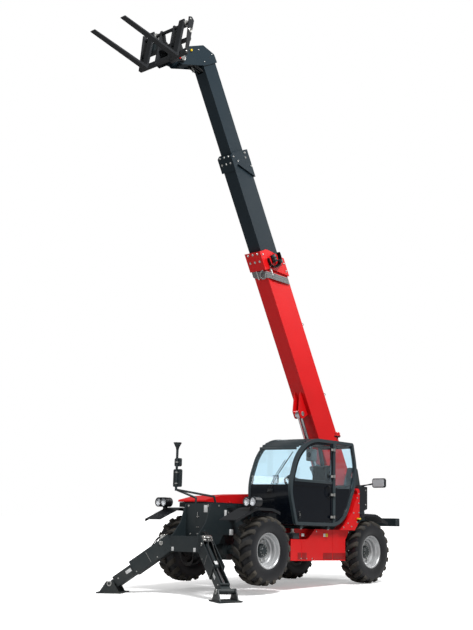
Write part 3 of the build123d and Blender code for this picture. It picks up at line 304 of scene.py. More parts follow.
def site_dust():
    """Dry dust that thins out with height, in soft patches, and a slow change of shade."""
    name = "Site Dust"
    if name in bpy.data.node_groups:
        return bpy.data.node_groups[name]
    group, source, sink = new_group(name, [
        ("Clean Colour", COLOUR, (0.5, 0.5, 0.5, 1)), ("Dust Colour", COLOUR, (0.3, 0.27, 0.22, 1)),
        ("Amount", VALUE, 0.3), ("Height", VALUE, 1.4), ("Shade", VALUE, 0.08), ("Clean Roughness", VALUE, 0.4),
    ], [("Colour", COLOUR), ("Roughness", VALUE)])
    links = group.links
    place = group.nodes.new("ShaderNodeTexCoord").outputs["Object"]
    split = group.nodes.new("ShaderNodeSeparateXYZ")
    links.new(place, split.inputs[0])
    height = node(group, "ShaderNodeMapRange", From_Min=0.0, To_Min=1.0, To_Max=0.0)
    links.new(split.outputs["Z"], height.inputs["Value"])
    links.new(source.outputs["Height"], height.inputs["From Max"])
    patches = spread(group, noise(group, place, 2.3, 5), 0.36, 0.68)
    fine = spread(group, noise(group, place, 38.0, 4), 0.3, 0.75, 0.5, 1.0)
    mask = math_node(group, "MULTIPLY", math_node(group, "MULTIPLY", patches, fine), source.outputs["Amount"])
    mask = math_node(group, "MULTIPLY", mask, math_node(group, "ADD", height.outputs[0], 0.12), clamp=True)
    slow = spread(group, noise(group, place, 0.9, 2), 0.3, 0.7, -1.0, 1.0)
    slow = math_node(group, "ADD", 1.0, math_node(group, "MULTIPLY", slow, source.outputs["Shade"]))
    shaded = group.nodes.new("ShaderNodeVectorMath")
    shaded.operation = "SCALE"
    links.new(source.outputs["Clean Colour"], shaded.inputs[0])
    links.new(slow, shaded.inputs["Scale"])
    colour = blend_colour(group, mask, shaded.outputs[0], source.outputs["Dust Colour"])
    links.new(colour, sink.inputs["Colour"])
    rough = math_node(group, "ADD", source.outputs["Clean Roughness"],
                      math_node(group, "MULTIPLY", fine, math_node(group, "ADD", 0.05, math_node(
                          group, "MULTIPLY", mask, 0.4))), clamp=True)
    links.new(rough, sink.inputs["Roughness"])
    return group


def surface_grain():
    """Height of a fine grain over a slow ripple."""
    name = "Surface Grain"
    if name in bpy.data.node_groups:
        return bpy.data.node_groups[name]
    group, source, sink = new_group(name, [
        ("Grain Scale", VALUE, 400.0), ("Grain", VALUE, 0.5),
        ("Ripple Scale", VALUE, 30.0), ("Ripple", VALUE, 0.5),
    ], [("Height", VALUE)])
    place = group.nodes.new("ShaderNodeTexCoord").outputs["Object"]
    heights = []
    for scale, amount in (("Grain Scale", "Grain"), ("Ripple Scale", "Ripple")):
        made = node(group, "ShaderNodeTexNoise", Detail=2.0)
        group.links.new(place, made.inputs["Vector"])
        group.links.new(source.outputs[scale], made.inputs["Scale"])
        heights.append(math_node(group, "MULTIPLY", made.outputs["Fac"], source.outputs[amount]))
    group.links.new(math_node(group, "ADD", *heights), sink.inputs["Height"])
    return group


def weave():
    """Height of two crossed sets of yarns."""
    name = "Cloth Weave"
    if name in bpy.data.node_groups:
        return bpy.data.node_groups[name]
    group, source, sink = new_group(name, [("Yarns", VALUE, 140.0)], [("Height", VALUE)])
    place = group.nodes.new("ShaderNodeTexCoord").outputs["Object"]
    bands = []
    for direction in ("X", "Y"):
        made = node(group, "ShaderNodeTexWave", bands_direction=direction, wave_profile="SIN", Distortion=0.6)
        group.links.new(place, made.inputs["Vector"])
        group.links.new(source.outputs["Yarns"], made.inputs["Scale"])
        bands.append(made.outputs["Fac"])
    group.links.new(math_node(group, "MULTIPLY", *bands), sink.inputs["Height"])
    return group


# ---- finishes ----
def new_material(name):
    material = bpy.data.materials.new(name)
    material.use_nodes = True
    return material, material.node_tree


def add_group(tree, group, **values):
    """A node of a shader group with its sockets set."""
    made = tree.nodes.new("ShaderNodeGroup")
    made.node_tree = group
    for key, value in values.items():
        made.inputs[key.replace("_", " ")].default_value = value
    return made


def add_relief(tree, height, strength, depth):
    """Bump the material's surface by a height."""
    relief = node(tree, "ShaderNodeBump", Strength=strength, Distance=depth)
    tree.links.new(height, relief.inputs["Height"])
    tree.links.new(relief.outputs["Normal"], tree.nodes["Principled BSDF"].inputs["Normal"])


def finish(name, colour, rough, metallic=0.0, dust=0.25, dust_height=1.3, dust_colour=(0.24, 0.21, 0.17),
           grain=(420.0, 0.3, 26.0, 0.5), bump=0.08, depth=0.002, sockets=None):
    """A Principled material of a clean colour under site dust, with a grained skin."""
    material, tree = new_material(name)
    shader = tree.nodes["Principled BSDF"]
    shader.inputs["Metallic"].default_value = metallic
    for socket, value in (sockets or {}).items():
        shader.inputs[socket].default_value = value
    dirt = add_group(tree, site_dust(), Clean_Colour=(*colour, 1), Dust_Colour=(*dust_colour, 1), Amount=dust,
                     Height=dust_height, Shade=0.06, Clean_Roughness=rough)
    tree.links.new(dirt.outputs["Colour"], shader.inputs["Base Color"])
    tree.links.new(dirt.outputs["Roughness"], shader.inputs["Roughness"])
    grain_scale, grain_height, ripple_scale, ripple_height = grain
    skin = add_group(tree, surface_grain(), Grain_Scale=grain_scale, Grain=grain_height,
                     Ripple_Scale=ripple_scale, Ripple=ripple_height)
    add_relief(tree, skin.outputs["Height"], bump, depth)
    return material


def sizes():
    return bpy.context.scene.telehandler_sizes


def colours():
    return bpy.context.scene.telehandler_colours


def coat(weight, rough, **others):
    """Values of the shader's own sockets for a clear coat."""
    values = {key.replace("_", " "): value for key, value in others.items()}
    return {"Coat Weight": weight, "Coat Roughness": rough, **values}


# a kind's material name, clean colour or the setting that holds it, roughness, and what else sets it apart
PAINTS = {
    "red": ("Red Paint", "red", 0.36, dict(sockets=coat(0.12, 0.15, Specular_IOR_Level=0.3), dust=0.1)),
    "dark_red": ("Dark Red Paint", (0.306, 0.0018, 0.0027), 0.4, dict(dust=0.1)),
    "grey": ("Anthracite Paint", "frame", 0.42, dict(sockets=coat(0.15, 0.3), dust=0.22, dust_height=1.1)),
    "cab": ("Cab Tube Paint", "cab", 0.38, dict(sockets=coat(0.2, 0.25))),
    "boom": ("Boom Section Paint", "boom", 0.45, dict(
        sockets=coat(0.05, 0.3, Specular_IOR_Level=0.2), dust=0.03, dust_height=12)),
    "fork": ("Fork Steel", (0.012, 0.014, 0.017), 0.46, dict(metallic=0.3, dust=0.1, dust_height=12)),
    "plastic": ("Black Plastic", (0.007, 0.009, 0.012), 0.36, dict(
        grain=(900.0, 0.9, 12.0, 0.3), bump=0.12, dust=0.15)),
    "panel": ("Glossy Black Panel", (0.003, 0.005, 0.009), 0.16, dict(
        sockets=coat(0.35, 0.05, Specular_IOR_Level=0.3), dust=0.04, bump=0.03)),
    "chrome": ("Chromed Rod", (0.72, 0.73, 0.75), 0.12, dict(metallic=1.0, dust=0.05, bump=0.01)),
    "zinc": ("Zinc Fitting", (0.62, 0.62, 0.6), 0.32, dict(metallic=0.9, dust=0.1)),
    "cast": ("Cast Iron", (0.05, 0.05, 0.05), 0.6, dict(metallic=0.5, grain=(260.0, 1.0, 40.0, 0.8), bump=0.3)),
    "sidewall": ("Tyre Sidewall", (0.005, 0.006, 0.009), 0.42, dict(
        sockets={"Sheen Weight": 0.15, "Sheen Roughness": 0.4}, dust=0.1, dust_height=0.7,
        grain=(300.0, 0.5, 60.0, 0.5), bump=0.12)),
    "tread": ("Tyre Tread", (0.024, 0.022, 0.02), 0.78, dict(
        dust=1.3, dust_height=2.6, dust_colour=(0.1, 0.088, 0.07), grain=(160.0, 1.0, 40.0, 0.8), bump=0.35,
        depth=0.004)),
    "hose": ("Hose Rubber", (0.012, 0.012, 0.013), 0.5, dict(grain=(500.0, 0.8, 60.0, 0.4), bump=0.2)),
    "grey_hose": ("Sleeved Hose", (0.22, 0.23, 0.23), 0.5, dict(grain=(380.0, 1.0, 60.0, 0.4), bump=0.3)),
    "label": ("Blank Plate", (0.72, 0.73, 0.73), 0.4, dict(dust=0.15, bump=0.03)),
    "yellow": ("Yellow Plastic", (0.75, 0.52, 0.01), 0.35, {}),
    "reflector": ("Lamp Reflector", (0.85, 0.86, 0.88), 0.1, dict(metallic=1.0, dust=0.02, bump=0.02)),
    # mirror faces: part metal reflection, part white diffuse colour that paints in the reflection of the bright
    # room
    "mirror": ("Mirror Silver", (0.85, 0.87, 0.9), 0.06, dict(metallic=0.45, dust=0.04, bump=0.0)),
    "inside": ("Cab Interior", (0.012, 0.013, 0.015), 0.6, dict(dust=0.05)),
    # silver outside; within DISC_Y of the machine's middle it turns to near-black painted shade
    "silver": ("Silver Wheel Paint", (0.56, 0.57, 0.58), 0.34, dict(
        metallic=0.55, dust_height=1.0, grain=(700.0, 0.4, 18.0, 0.3), bump=0.04)),
    "cloth": ("Cushion Cloth", (0.022, 0.023, 0.026), 0.85, dict(
        sockets={"Sheen Weight": 0.4, "Sheen Roughness": 0.5}, dust=0.1)),
    "beacon": ("Beacon Lens", (0.62, 0.012, 0.012), 0.18, dict(
        sockets=coat(0.6, 0.05, Subsurface_Weight=0.1), dust=0.05)),
}
DISC_Y = 0.9                          # inner side of the wheels' discs, from the machine's middle; nearer the middle the silver is painted shade
PAINTED_DISC_SHADE = (0.012, 0.013, 0.015, 1)       # painted shade, nearly black, on the inner side of the discs


def paint_shade_inside_discs(material):
    """Paint near-black shade on the inner side of a wheel's disc, leaving the silver on the outer side alone.
    """
    tree = material.node_tree
    dirt = next(made for made in tree.nodes if "Clean Colour" in made.inputs)
    parts = tree.nodes.new("ShaderNodeSeparateXYZ")
    tree.links.new(tree.nodes.new("ShaderNodeTexCoord").outputs["Object"], parts.inputs[0])
    outer = spread(tree, math_node(tree, "ABSOLUTE", parts.outputs["Y"], 0), DISC_Y - 0.005, DISC_Y + 0.005)
    silver = tuple(dirt.inputs["Clean Colour"].default_value)
    tree.links.new(blend_colour(tree, outer, PAINTED_DISC_SHADE, silver), dirt.inputs["Clean Colour"])


def weave_cloth(material):
    """Put the yarns in place of the plain grain."""
    tree = material.node_tree
    add_relief(tree, add_group(tree, weave()).outputs["Height"], 0.35, 0.001)


def clear_material(name, colour, rough):
    """Clear stuff with faint smears on it."""
    material, tree = new_material(name)
    shader = tree.nodes["Principled BSDF"]
    for socket, value in (("Base Color", (*colour, 1)), ("Transmission Weight", 1.0), ("IOR", 1.45)):
        shader.inputs[socket].default_value = value
    place = tree.nodes.new("ShaderNodeTexCoord").outputs["Object"]
    smears = spread(tree, noise(tree, place, 5.0, 4), 0.55, 0.8, rough, rough + 0.06)
    tree.links.new(smears, shader.inputs["Roughness"])
    return material


def paint(kind):
    """The material of one kind of finish, made when it is first asked for."""
    name = {"window": "Window Glass", "lamp_glass": "Lamp Glass"}.get(kind) or PAINTS[kind][0]
    if name in bpy.data.materials:
        return bpy.data.materials[name]
    if kind == "window":
        return clear_material(name, tuple(colours().glass), 0.0)
    if kind == "lamp_glass":
        return clear_material(name, (0.95, 0.96, 0.97), 0.02)
    colour, rough, others = PAINTS[kind][1:]
    if isinstance(colour, str):
        colour = tuple(getattr(colours(), colour))
    material = finish(name, colour, rough, **others)
    # the silver gets near-black painted shade inward of DISC_Y
    if kind == "silver":
        paint_shade_inside_discs(material)
    if kind == "cloth":
        weave_cloth(material)
    return material


NODE_FINISH = {
    "side_box": "red", "rear_bodywork": "red", "engine_hood": "red", "boom_section_1": "red",
    "boom_section_2": "boom", "boom_section_3": "boom", "carriage": "fork", "forks": "fork",
    "cab_frame": "cab", "cab_panels": "panel", "cab_roof": "plastic", "cab_glass": "window",
    "door_frame": "panel", "door_glass": "window", "cab_controls": "inside", "cab_seat": "inside",
    "fenders": "plastic", "lamps": "plastic", "rear_mirror": "plastic", "beacon": "beacon",
    "lift_rod": "chrome", "tilt_rod": "chrome", "engine_block": "cast", "rear_tank": "plastic",
}


# ---- settings ----
def _length(name, about, value):
    return FloatProperty(name=name, description=about, default=value, unit="LENGTH", subtype="DISTANCE")


def _colour(name, about, value):
    return FloatVectorProperty(name=name, description=about, default=value, subtype="COLOR", min=0, max=1)


class TelehandlerSizes(bpy.types.PropertyGroup):
    tyre_steps: IntProperty(name="Tyre Steps", description="Steps of a tyre round its axle", default=96, min=24)
    lug_thickness: _length("Lug Thickness", "Width of one lug at its foot", 0.092)
    lug_height: _length("Lug Height", "Height of a lug over the carcass", 0.041)
    hose_radius: _length("Hose Radius", "Radius of a hydraulic hose", 0.011)
    floor_size: _length("Floor Size", "Side of the studio floor", 160.0)
    lens: FloatProperty(name="Lens", description="Focal length of the camera", default=59.61, unit="CAMERA")


class TelehandlerColours(bpy.types.PropertyGroup):
    red: _colour("Red", "Body and first boom section", (0.68, 0.004, 0.006))
    frame: _colour("Frame", "Main frame, legs and axles", (0.014, 0.023, 0.027))
    cab: _colour("Cab Tubes", "Bent tubes of the cab", (0.026, 0.04, 0.048))
    boom: _colour("Inner Boom", "Second and third boom sections", (0.01, 0.02, 0.028))
    glass: _colour("Glass", "Tint of the windows", (0.78, 0.93, 1.0))


class TELEHANDLER_OT_stage(bpy.types.Operator):
    """Add the floor, the soft studio light and the camera"""
    bl_idname = "telehandler.stage"
    bl_label = "Stage"

    LAMPS = (("Key Lamp", (4, 11, 18), 5.0, 3900), ("Fill Lamp", (17, -6, 10), 8.0, 500),
             ("Back Lamp", (-14, 4, 12), 8.0, 900))
    LIT_HEIGHT = 3.5                            # height that the lamps point at
    EYE, TURNS = (15.709, 13.114, 0.85), (-137.65, 11.93, -1.43)    # the camera's place, yaw, pitch and roll
    ROOM_LIGHT, ROOM_GLOSS = 0.36, 0.16         # strength of the white room on the part, and in its reflections

    def execute(self, context):
        scene = bpy.context.scene
        scene.view_settings.view_transform = "Standard"
        self.floor()
        self.world()
        for name, place, size, watts in self.LAMPS:
            self.lamp(name, place, size, watts)
        self.camera()
        return {"FINISHED"}

    def floor(self):
        bm = bmesh.new()
        half = sizes().floor_size / 2
        bmesh.ops.create_grid(bm, x_segments=2, y_segments=2, size=half)
        floor = add_object("studio_floor", to_mesh("studio_floor", bm))
        material, tree = new_material("Studio Floor")
        tree.nodes.clear()
        pale = node(tree, "ShaderNodeBsdfDiffuse", Color=(0.45, 0.45, 0.45, 1))
        matt = node(tree, "ShaderNodeBsdfDiffuse", Color=(0.98, 0.98, 0.98, 1))
        # painted light: for the camera the floor glows on top of its lit white, fully beyond 9 m from the
        # machine's middle and at about a third within 3.5 m, so the shade around the machine shows deeper;
        # other rays see a grey floor, so less light bounces up
        glow = node(tree, "ShaderNodeEmission", Color=(1, 1, 1, 1))
        away = tree.nodes.new("ShaderNodeVectorMath")
        away.operation = "LENGTH"
        tree.links.new(tree.nodes.new("ShaderNodeTexCoord").outputs["Object"], away.inputs[0])
        tree.links.new(spread(tree, away.outputs["Value"], 3.5, 9.0, 0.34, 1.0), glow.inputs["Strength"])
        both = tree.nodes.new("ShaderNodeAddShader")
        seen = tree.nodes.new("ShaderNodeLightPath")
        pick = tree.nodes.new("ShaderNodeMixShader")
        sink = tree.nodes.new("ShaderNodeOutputMaterial")
        tree.links.new(matt.outputs[0], both.inputs[0])
        tree.links.new(glow.outputs[0], both.inputs[1])
        tree.links.new(seen.outputs["Is Camera Ray"], pick.inputs[0])
        tree.links.new(pale.outputs[0], pick.inputs[1])
        tree.links.new(both.outputs[0], pick.inputs[2])
        tree.links.new(pick.outputs[0], sink.inputs["Surface"])
        floor.data.materials.append(material)

    def world(self):
        world = bpy.data.worlds.new("Studio")
        world.use_nodes = True
        tree = world.node_tree
        back = tree.nodes["Background"]
        back.inputs["Color"].default_value = (1, 1, 1, 1)
        seen = tree.nodes.new("ShaderNodeLightPath")
        ray = math_node(tree, "MAXIMUM", seen.outputs["Is Camera Ray"], seen.outputs["Is Transmission Ray"])
        plain = spread(tree, seen.outputs["Is Glossy Ray"], 0.0, 1.0, self.ROOM_LIGHT, self.ROOM_GLOSS)
        tree.links.new(math_node(tree, "MAXIMUM", ray, plain), back.inputs["Strength"])
        bpy.context.scene.world = world

    def lamp(self, name, place, size, power):
        light = bpy.data.lights.new(name, "AREA")
        light.shape, light.size, light.energy = "DISK", size, power
        lamp = add_object(name, light)
        lamp.matrix_world = Matrix.Translation(place) @ (
            Vector((0, 0, self.LIT_HEIGHT)) - Vector(place)).to_track_quat("-Z", "Y").to_matrix().to_4x4()

    def camera(self):
        lens = bpy.data.cameras.new("Camera")
        lens.sensor_fit = "VERTICAL"
        lens.sensor_height = 36
        lens.lens = sizes().lens
        lens.clip_end = 500
        camera = add_object("Camera", lens)
        yaw, pitch, roll = [math.radians(v) for v in self.TURNS]
        ahead = Vector((math.cos(pitch) * math.cos(yaw), math.cos(pitch) * math.sin(yaw), math.sin(pitch)))
        right = Vector((math.sin(yaw), -math.cos(yaw), 0))
        up = right.cross(ahead)
        right, up = (math.cos(roll) * right - math.sin(roll) * up, math.sin(roll) * right + math.cos(roll) * up)
        axes = Matrix((right, up, -ahead)).transposed().to_4x4()
        camera.matrix_world = GROUND @ _shift(*self.EYE) @ axes
        bpy.context.scene.camera = camera


class TELEHANDLER_OT_paint(bpy.types.Operator):
    """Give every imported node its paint, plastic, glass or metal"""
    bl_idname = "telehandler.paint"
    bl_label = "Paint"

    def execute(self, context):
        for name, packed in frame["nodes"].items():
            kind = NODE_FINISH.get(name, "grey")
            if name.startswith("rim"):
                # rims: silver outside, painted shade on their inner side
                kind = "silver"
            elif name.startswith("tyre"):
                kind = "sidewall"
            packed.data.materials.clear()
            packed.data.materials.append(paint(kind))
        return {"FINISHED"}


class TELEHANDLER_OT_tyres(bpy.types.Operator):
    """Model the four tyres with their swept lugs"""
    bl_idname = "telehandler.tyres"
    bl_label = "Tyres"

    # half section of the carcass, (distance from the middle, radius), bead to crown
    SECTION = [(0.1452, 0.2868), (0.1452, 0.3128), (0.166, 0.3138), (0.176, 0.32), (0.1795, 0.331),
               (0.1835, 0.333), (0.194, 0.362), (0.2035, 0.415), (0.205, 0.462), (0.2, 0.508),
               (0.186, 0.538), (0.15, 0.55), (0.08, 0.556), (0, 0.558)]
    LUG_PAIRS = 18
    WHEEL_Y = 0.93
    LUG_START, LUG_REACH, LUG_END = -0.006, 0.2105, 0.2045     # across the tyre, from its middle
    LUG_SUNK, LUG_TOP = 0.012, 0.5985                          # foot under the carcass, largest radius
    SWEEP, SWEEP_BACK, SWEEP_RADIUS = 0.062, 0.125, 0.575      # of the lugs, along the tread at that radius

    def execute(self, context):
        bm = bmesh.new()
        section = self.SECTION + [(-y, r) for y, r in reversed(self.SECTION[:-1])]
        turned(bm, section, (0, 0, 0), (0, 1, 0), 0, sizes().tyre_steps, closed=True)
        lug = self.lug()
        step = Matrix.Rotation(math.pi / self.LUG_PAIRS, 4, "Y")
        for _ in range(2 * self.LUG_PAIRS):
            lug.transform(step @ MIRROR[-1])
            bm.from_mesh(lug)
        bpy.data.meshes.remove(lug)
        pattern = to_mesh("tyre_pattern", bm)
        for corner, (x, side) in CORNERS.items():
            tyre = bmesh.new()
            tyre.from_mesh(pattern)
            place = GROUND @ _shift(x, side * self.WHEEL_Y, AXLE_Z)
            make(f"lugged_tyre_{corner}", tyre, f"wheel_{corner}", ("sidewall", "tread"), place, 30,
                 (f"tyre_{corner}",))
        bpy.data.meshes.remove(pattern)
        return {"FINISHED"}

    def lug(self):
        """A bar cut across seven times and wrapped over the crown and shoulder at the tyre's top."""
        thick, high = sizes().lug_thickness, sizes().lug_height
        bm = bmesh.new()
        bmesh.ops.create_cube(bm, size=1)
        lengthways = [e for e in bm.edges if abs((e.verts[0].co - e.verts[1].co).y) > 0.5]
        bmesh.ops.subdivide_edges(bm, edges=lengthways, cuts=7, use_grid_fill=True)
        for vert in bm.verts:
            u, v, w = vert.co.y + 0.5, vert.co.x, vert.co.z + 0.5
            y = self.LUG_START + u * self.LUG_REACH
            crown = 0.556 - 0.005 * (y / 0.15) ** 2 if y < 0.15 else 0.551 - 0.013 * ((y - 0.15) / 0.03) ** 1.4
            foot = crown - self.LUG_SUNK
            top = min(crown + high, self.LUG_TOP) - 0.006 * u ** 3
            if u > 0.97:
                top, foot = 0.56, 0.5
            sweep = self.SWEEP - self.SWEEP_BACK * max(u, 0) ** 0.85
            across = v * thick * (1.0 - 0.17 * w) * (1.0 + 0.12 * u)
            radius = foot + (top - foot) * w
            turn = (sweep + across) / self.SWEEP_RADIUS
            vert.co = Vector((radius * math.sin(turn), min(y, self.LUG_END), radius * math.cos(turn)))
        bmesh.ops.recalc_face_normals(bm, faces=bm.faces[:])
        tint(bm.verts, 1)
        soften(bm, bm.verts, 0.006, 2)
        return to_mesh("lug", bm)


class TELEHANDLER_OT_wheels(bpy.types.Operator):
    """Add hub covers, wheel nuts and valves to the four rims"""
    bl_idname = "telehandler.wheels"
    bl_label = "Wheel Fittings"

    HUB_FACE, DISC = 0.981, 0.909                    # planes of the hub's face and of the wheel's disc
    # the hub's cover, (out from the hub's face, radius)
    COVER = ((-0.058, 0.124), (-0.022, 0.1145), (-0.004, 0.1045), (0.003, 0.098), (0.0035, 0.06),
             (0.016, 0.05), (0.018, 0.0))
    NUTS = 10
    # bolt circle: radius, plane, size of a head, its height
    CIRCLES = ((0.165, DISC, 0.0145, 0.022), (0.082, HUB_FACE + 0.003, 0.006, 0.005))

    def execute(self, context):
        face, disc = self.HUB_FACE, self.DISC
        for corner, (x, side) in CORNERS.items():
            bm = bmesh.new()
            turned(bm, [(face + y, radius) for y, radius in self.COVER], (0, 0, 0), (0, 1, 0), 0, 40)
            for i in range(self.NUTS):
                turn = 2 * math.pi * i / self.NUTS
                for radius, plane, size, height in self.CIRCLES:
                    at = (radius * math.sin(turn), plane, radius * math.cos(turn))
                    bolt(bm, at, (0, 1, 0), size, height, 1)
            bar(bm, (0, disc, 0.196), (0, disc + 0.055, 0.19), 0.006, 2, 10)
            bar(bm, (0, disc + 0.05, 0.191), (0, disc + 0.068, 0.189), 0.008, 3, 10)
            make(f"hub_and_nuts_{corner}", bm, f"wheel_{corner}",
                 ("grey", "zinc", "zinc", "plastic"), GROUND @ MIRROR[side] @ _shift(x, 0, AXLE_Z))
        return {"FINISHED"}


class TELEHANDLER_OT_lamps(bpy.types.Operator):
    """Add reflectors, bulbs, rims and lenses to the headlamp pairs"""
    bl_idname = "telehandler.lamps"
    bl_label = "Headlamps"

    MIDDLE, HALF_GAP = Vector((2.06, 1.097, 1.424)), 0.07
    # (along the lamp, radius), from the mouth of the solid's bowl
    BOWL = [(-0.0385, 0.0), (-0.0385, 0.03), (0.0115, 0.0685), (0.0135, 0.07), (0.0135, 0.0675),
            (0.002, 0.0575), (0.000, 0.059), (-0.012, 0.047), (-0.014, 0.0485), (-0.024, 0.037),
            (-0.026, 0.038), (-0.0355, 0.027), (-0.0355, 0.0)]
    BULB = [(-0.036, 0.0), (-0.036, 0.013), (-0.012, 0.013), (-0.007, 0.008), (-0.006, 0.0)]
    LENS = [(0.014, 0.0), (0.014, 0.067), (0.0165, 0.067), (0.021, 0.045), (0.0235, 0.02), (0.024, 0.0)]
    RIM = [(0.0115, 0.076), (0.02, 0.076), (0.022, 0.073), (0.02, 0.069), (0.0115, 0.069)]

    def execute(self, context):
        for hand, side in SIDES.items():
            bright, clear = bmesh.new(), bmesh.new()
            for across in (-self.HALF_GAP, self.HALF_GAP):
                middle, axis = self.MIDDLE + Vector((0, across, 0)), (1, 0, 0)
                turned(bright, self.BOWL, middle, axis, 0, 32)
                turned(bright, self.BULB, middle, axis, 2, 20)
                turned(clear, self.LENS, middle, axis, 0, 32)
                turned(bright, self.RIM, middle, axis, 1, 32, closed=True)
            place = GROUND @ MIRROR[side]
            make(f"lamp_reflectors_{hand}", bright, "chassis", ("reflector", "plastic", "label"),
                 place)
            make(f"lamp_lenses_{hand}", clear, "chassis", ("lamp_glass",), place)
        return {"FINISHED"}


class TELEHANDLER_OT_boom(bpy.types.Operator):
    """Bolt the boom's collars and head, and add its hose guide, hoses, lifting eyes and pin caps"""
    bl_idname = "telehandler.boom"
    bl_label = "Boom Fittings"

    GUIDE_L, GUIDE_H, GUIDE_RADIUS = 4.56, 0.0, 0.195
    COLLAR_SIDE_1, COLLAR_SIDE_2, HEAD_SIDE = 0.1975, 0.1785, 0.151     # outer faces, from the boom's middle
    LIFTING_EYES = (3.05, 1.52)
    # ends of the lift cylinder's pin and the boom's pivot: along, up, radius, distance from the middle
    PINS = ((1.422, -0.444, 0.046, 0.085), (-0.25, 0.2, 0.052, 0.334))

    def execute(self, context):
        self.first()
        self.hose_guide()
        self.hose_bundle()
        self.second()
        self.head()
        return {"FINISHED"}

    def first(self):
        bm = bmesh.new()
        for along in (4.755, 4.6):
            for across in (-0.12, 0, 0.12):
                bolt(bm, (along, across, -0.335), (0, 0, -1), 0.017, 0.014, 0)
        for side in (1, -1):
            y = side * self.COLLAR_SIDE_1
            for along, up in ((4.72, -0.27), (4.44, -0.16), (4.2, 0.27), (4.36, 0.27)):
                bolt(bm, (along, y, up), (0, side, 0), 0.014, 0.01, 0)
            for along, up, radius, wide in self.PINS:
                turned(bm, [(0, radius), (0.006, radius), (0.009, radius - 0.004), (0.009, 0)],
                       (along, side * wide, up), (0, side, 0), 0, 28)
            for along in self.LIFTING_EYES:
                turned(bm, circle(0.026, 0.008, 8), (along, side * 0.155, 0.318), (0, 1, 0), 0, 20, closed=True)
        make("boom_1_bolts_and_eyes", bm, "boom_1", ("zinc",), BOOM)

    def hose_guide(self):
        """A flanged arc on the first section's collar, with its clamps."""
        guide = bmesh.new()
        y0, y1 = self.COLLAR_SIDE_1 - 0.002, self.COLLAR_SIDE_1 + 0.062
        for inner, far in ((0.183, y1), (0.15, y0 + 0.006)):
            self.arc(guide, inner, self.GUIDE_RADIUS, y0, far, -75, 215)
        block(guide, (4.47, y0, -0.07), (4.63, y1 - 0.02, 0.05), 0.008, 1)
        for along, up in ((4.5, -0.03), (4.56, -0.03), (4.5, 0.02), (4.56, 0.02)):
            bar(guide, (along, y1 - 0.025, up), (along, y1 + 0.012, up), 0.016, 1, 12, 0.002)
        block(guide, (4.4, y0, 0.1), (4.49, y1 - 0.005, 0.2), 0.01, 1)
        # the guide lies within DISC_Y of the machine's middle, so its silver finish turns to the near-black
        # painted disc shade
        make("boom_hose_guide", guide, "boom_1", ("silver", "plastic"), BOOM)

    def hose_bundle(self):
        """Hoses from the left side under the collar and up its right side, and a shorter loop."""
        bundle, radius = bmesh.new(), sizes().hose_radius
        for i in range(6):
            back = 0.024 * i
            thickness = radius * (1.0 if i % 2 else 0.85)
            hose(bundle, [(3.93 + back, 0.186, 0.26), (4.02 + back, 0.196, 0.1), (4.13 + back, 0.2, -0.1),
                          (4.24 + back, 0.19, -0.27), (4.27 + back, 0.13, -0.322 - 0.004 * (i % 3)),
                          (4.27 + back, 0.0, -0.326), (4.29 + back, -0.12, -0.324 - 0.006 * (i % 2)),
                          (4.31 + back, -0.196, -0.3), (4.36 + back / 2, -0.2, -0.2),
                          (4.4, -0.198, -0.1 + back)], thickness, 0)
        for i in range(4):
            hose(bundle, [(4.28 + 0.02 * i, 0.15, -0.325), (4.22, 0.11 + 0.01 * i, -0.358),
                          (4.3, 0.03, -0.366), (4.4, 0.06 + 0.015 * i, -0.362), (4.42, 0.14, -0.345)],
                 radius * 0.8, 0)
        block(bundle, (4.24, 0.168, -0.2), (4.4, 0.214, -0.165), 0.006, 1)
        block(bundle, (4.24, -0.05, -0.345), (4.42, -0.02, -0.294), 0.006, 1)
        make("boom_hose_bundle", bundle, "boom_1", ("grey_hose", "zinc"), BOOM)

    def arc(self, bm, inner, outer, y0, y1, start, sweep):
        """Part of a ring about the guide's middle, between two angles."""
        verts = []
        for radius, y in ((inner, y0), (outer, y0), (outer, y1), (inner, y1)):
            turn = math.radians(start)
            verts.append(bm.verts.new((self.GUIDE_L + radius * math.cos(turn), y,
                                       self.GUIDE_H + radius * math.sin(turn))))
        face = bm.faces.new(verts)
        bmesh.ops.spin(bm, geom=[face] + verts, cent=(self.GUIDE_L, 0, self.GUIDE_H), axis=(0, 1, 0),
                       angle=math.radians(sweep), steps=24)

    def second(self):
        bm = bmesh.new()
        for along in (6.725, 6.59):
            for across in (-0.11, 0, 0.11):
                bolt(bm, (along, across, -0.265), (0, 0, -1), 0.015, 0.012, 0)
        for side in (1, -1):
            for along, up in ((6.69, 0.15), (6.6, 0.135), (6.4, 0.235), (6.583, -0.116), (6.69, -0.2)):
                bolt(bm, (along, side * self.COLLAR_SIDE_2, up), (0, side, 0), 0.013, 0.01, 0)
        make("boom_2_bolts", bm, "boom_2", ("zinc",), BOOM)

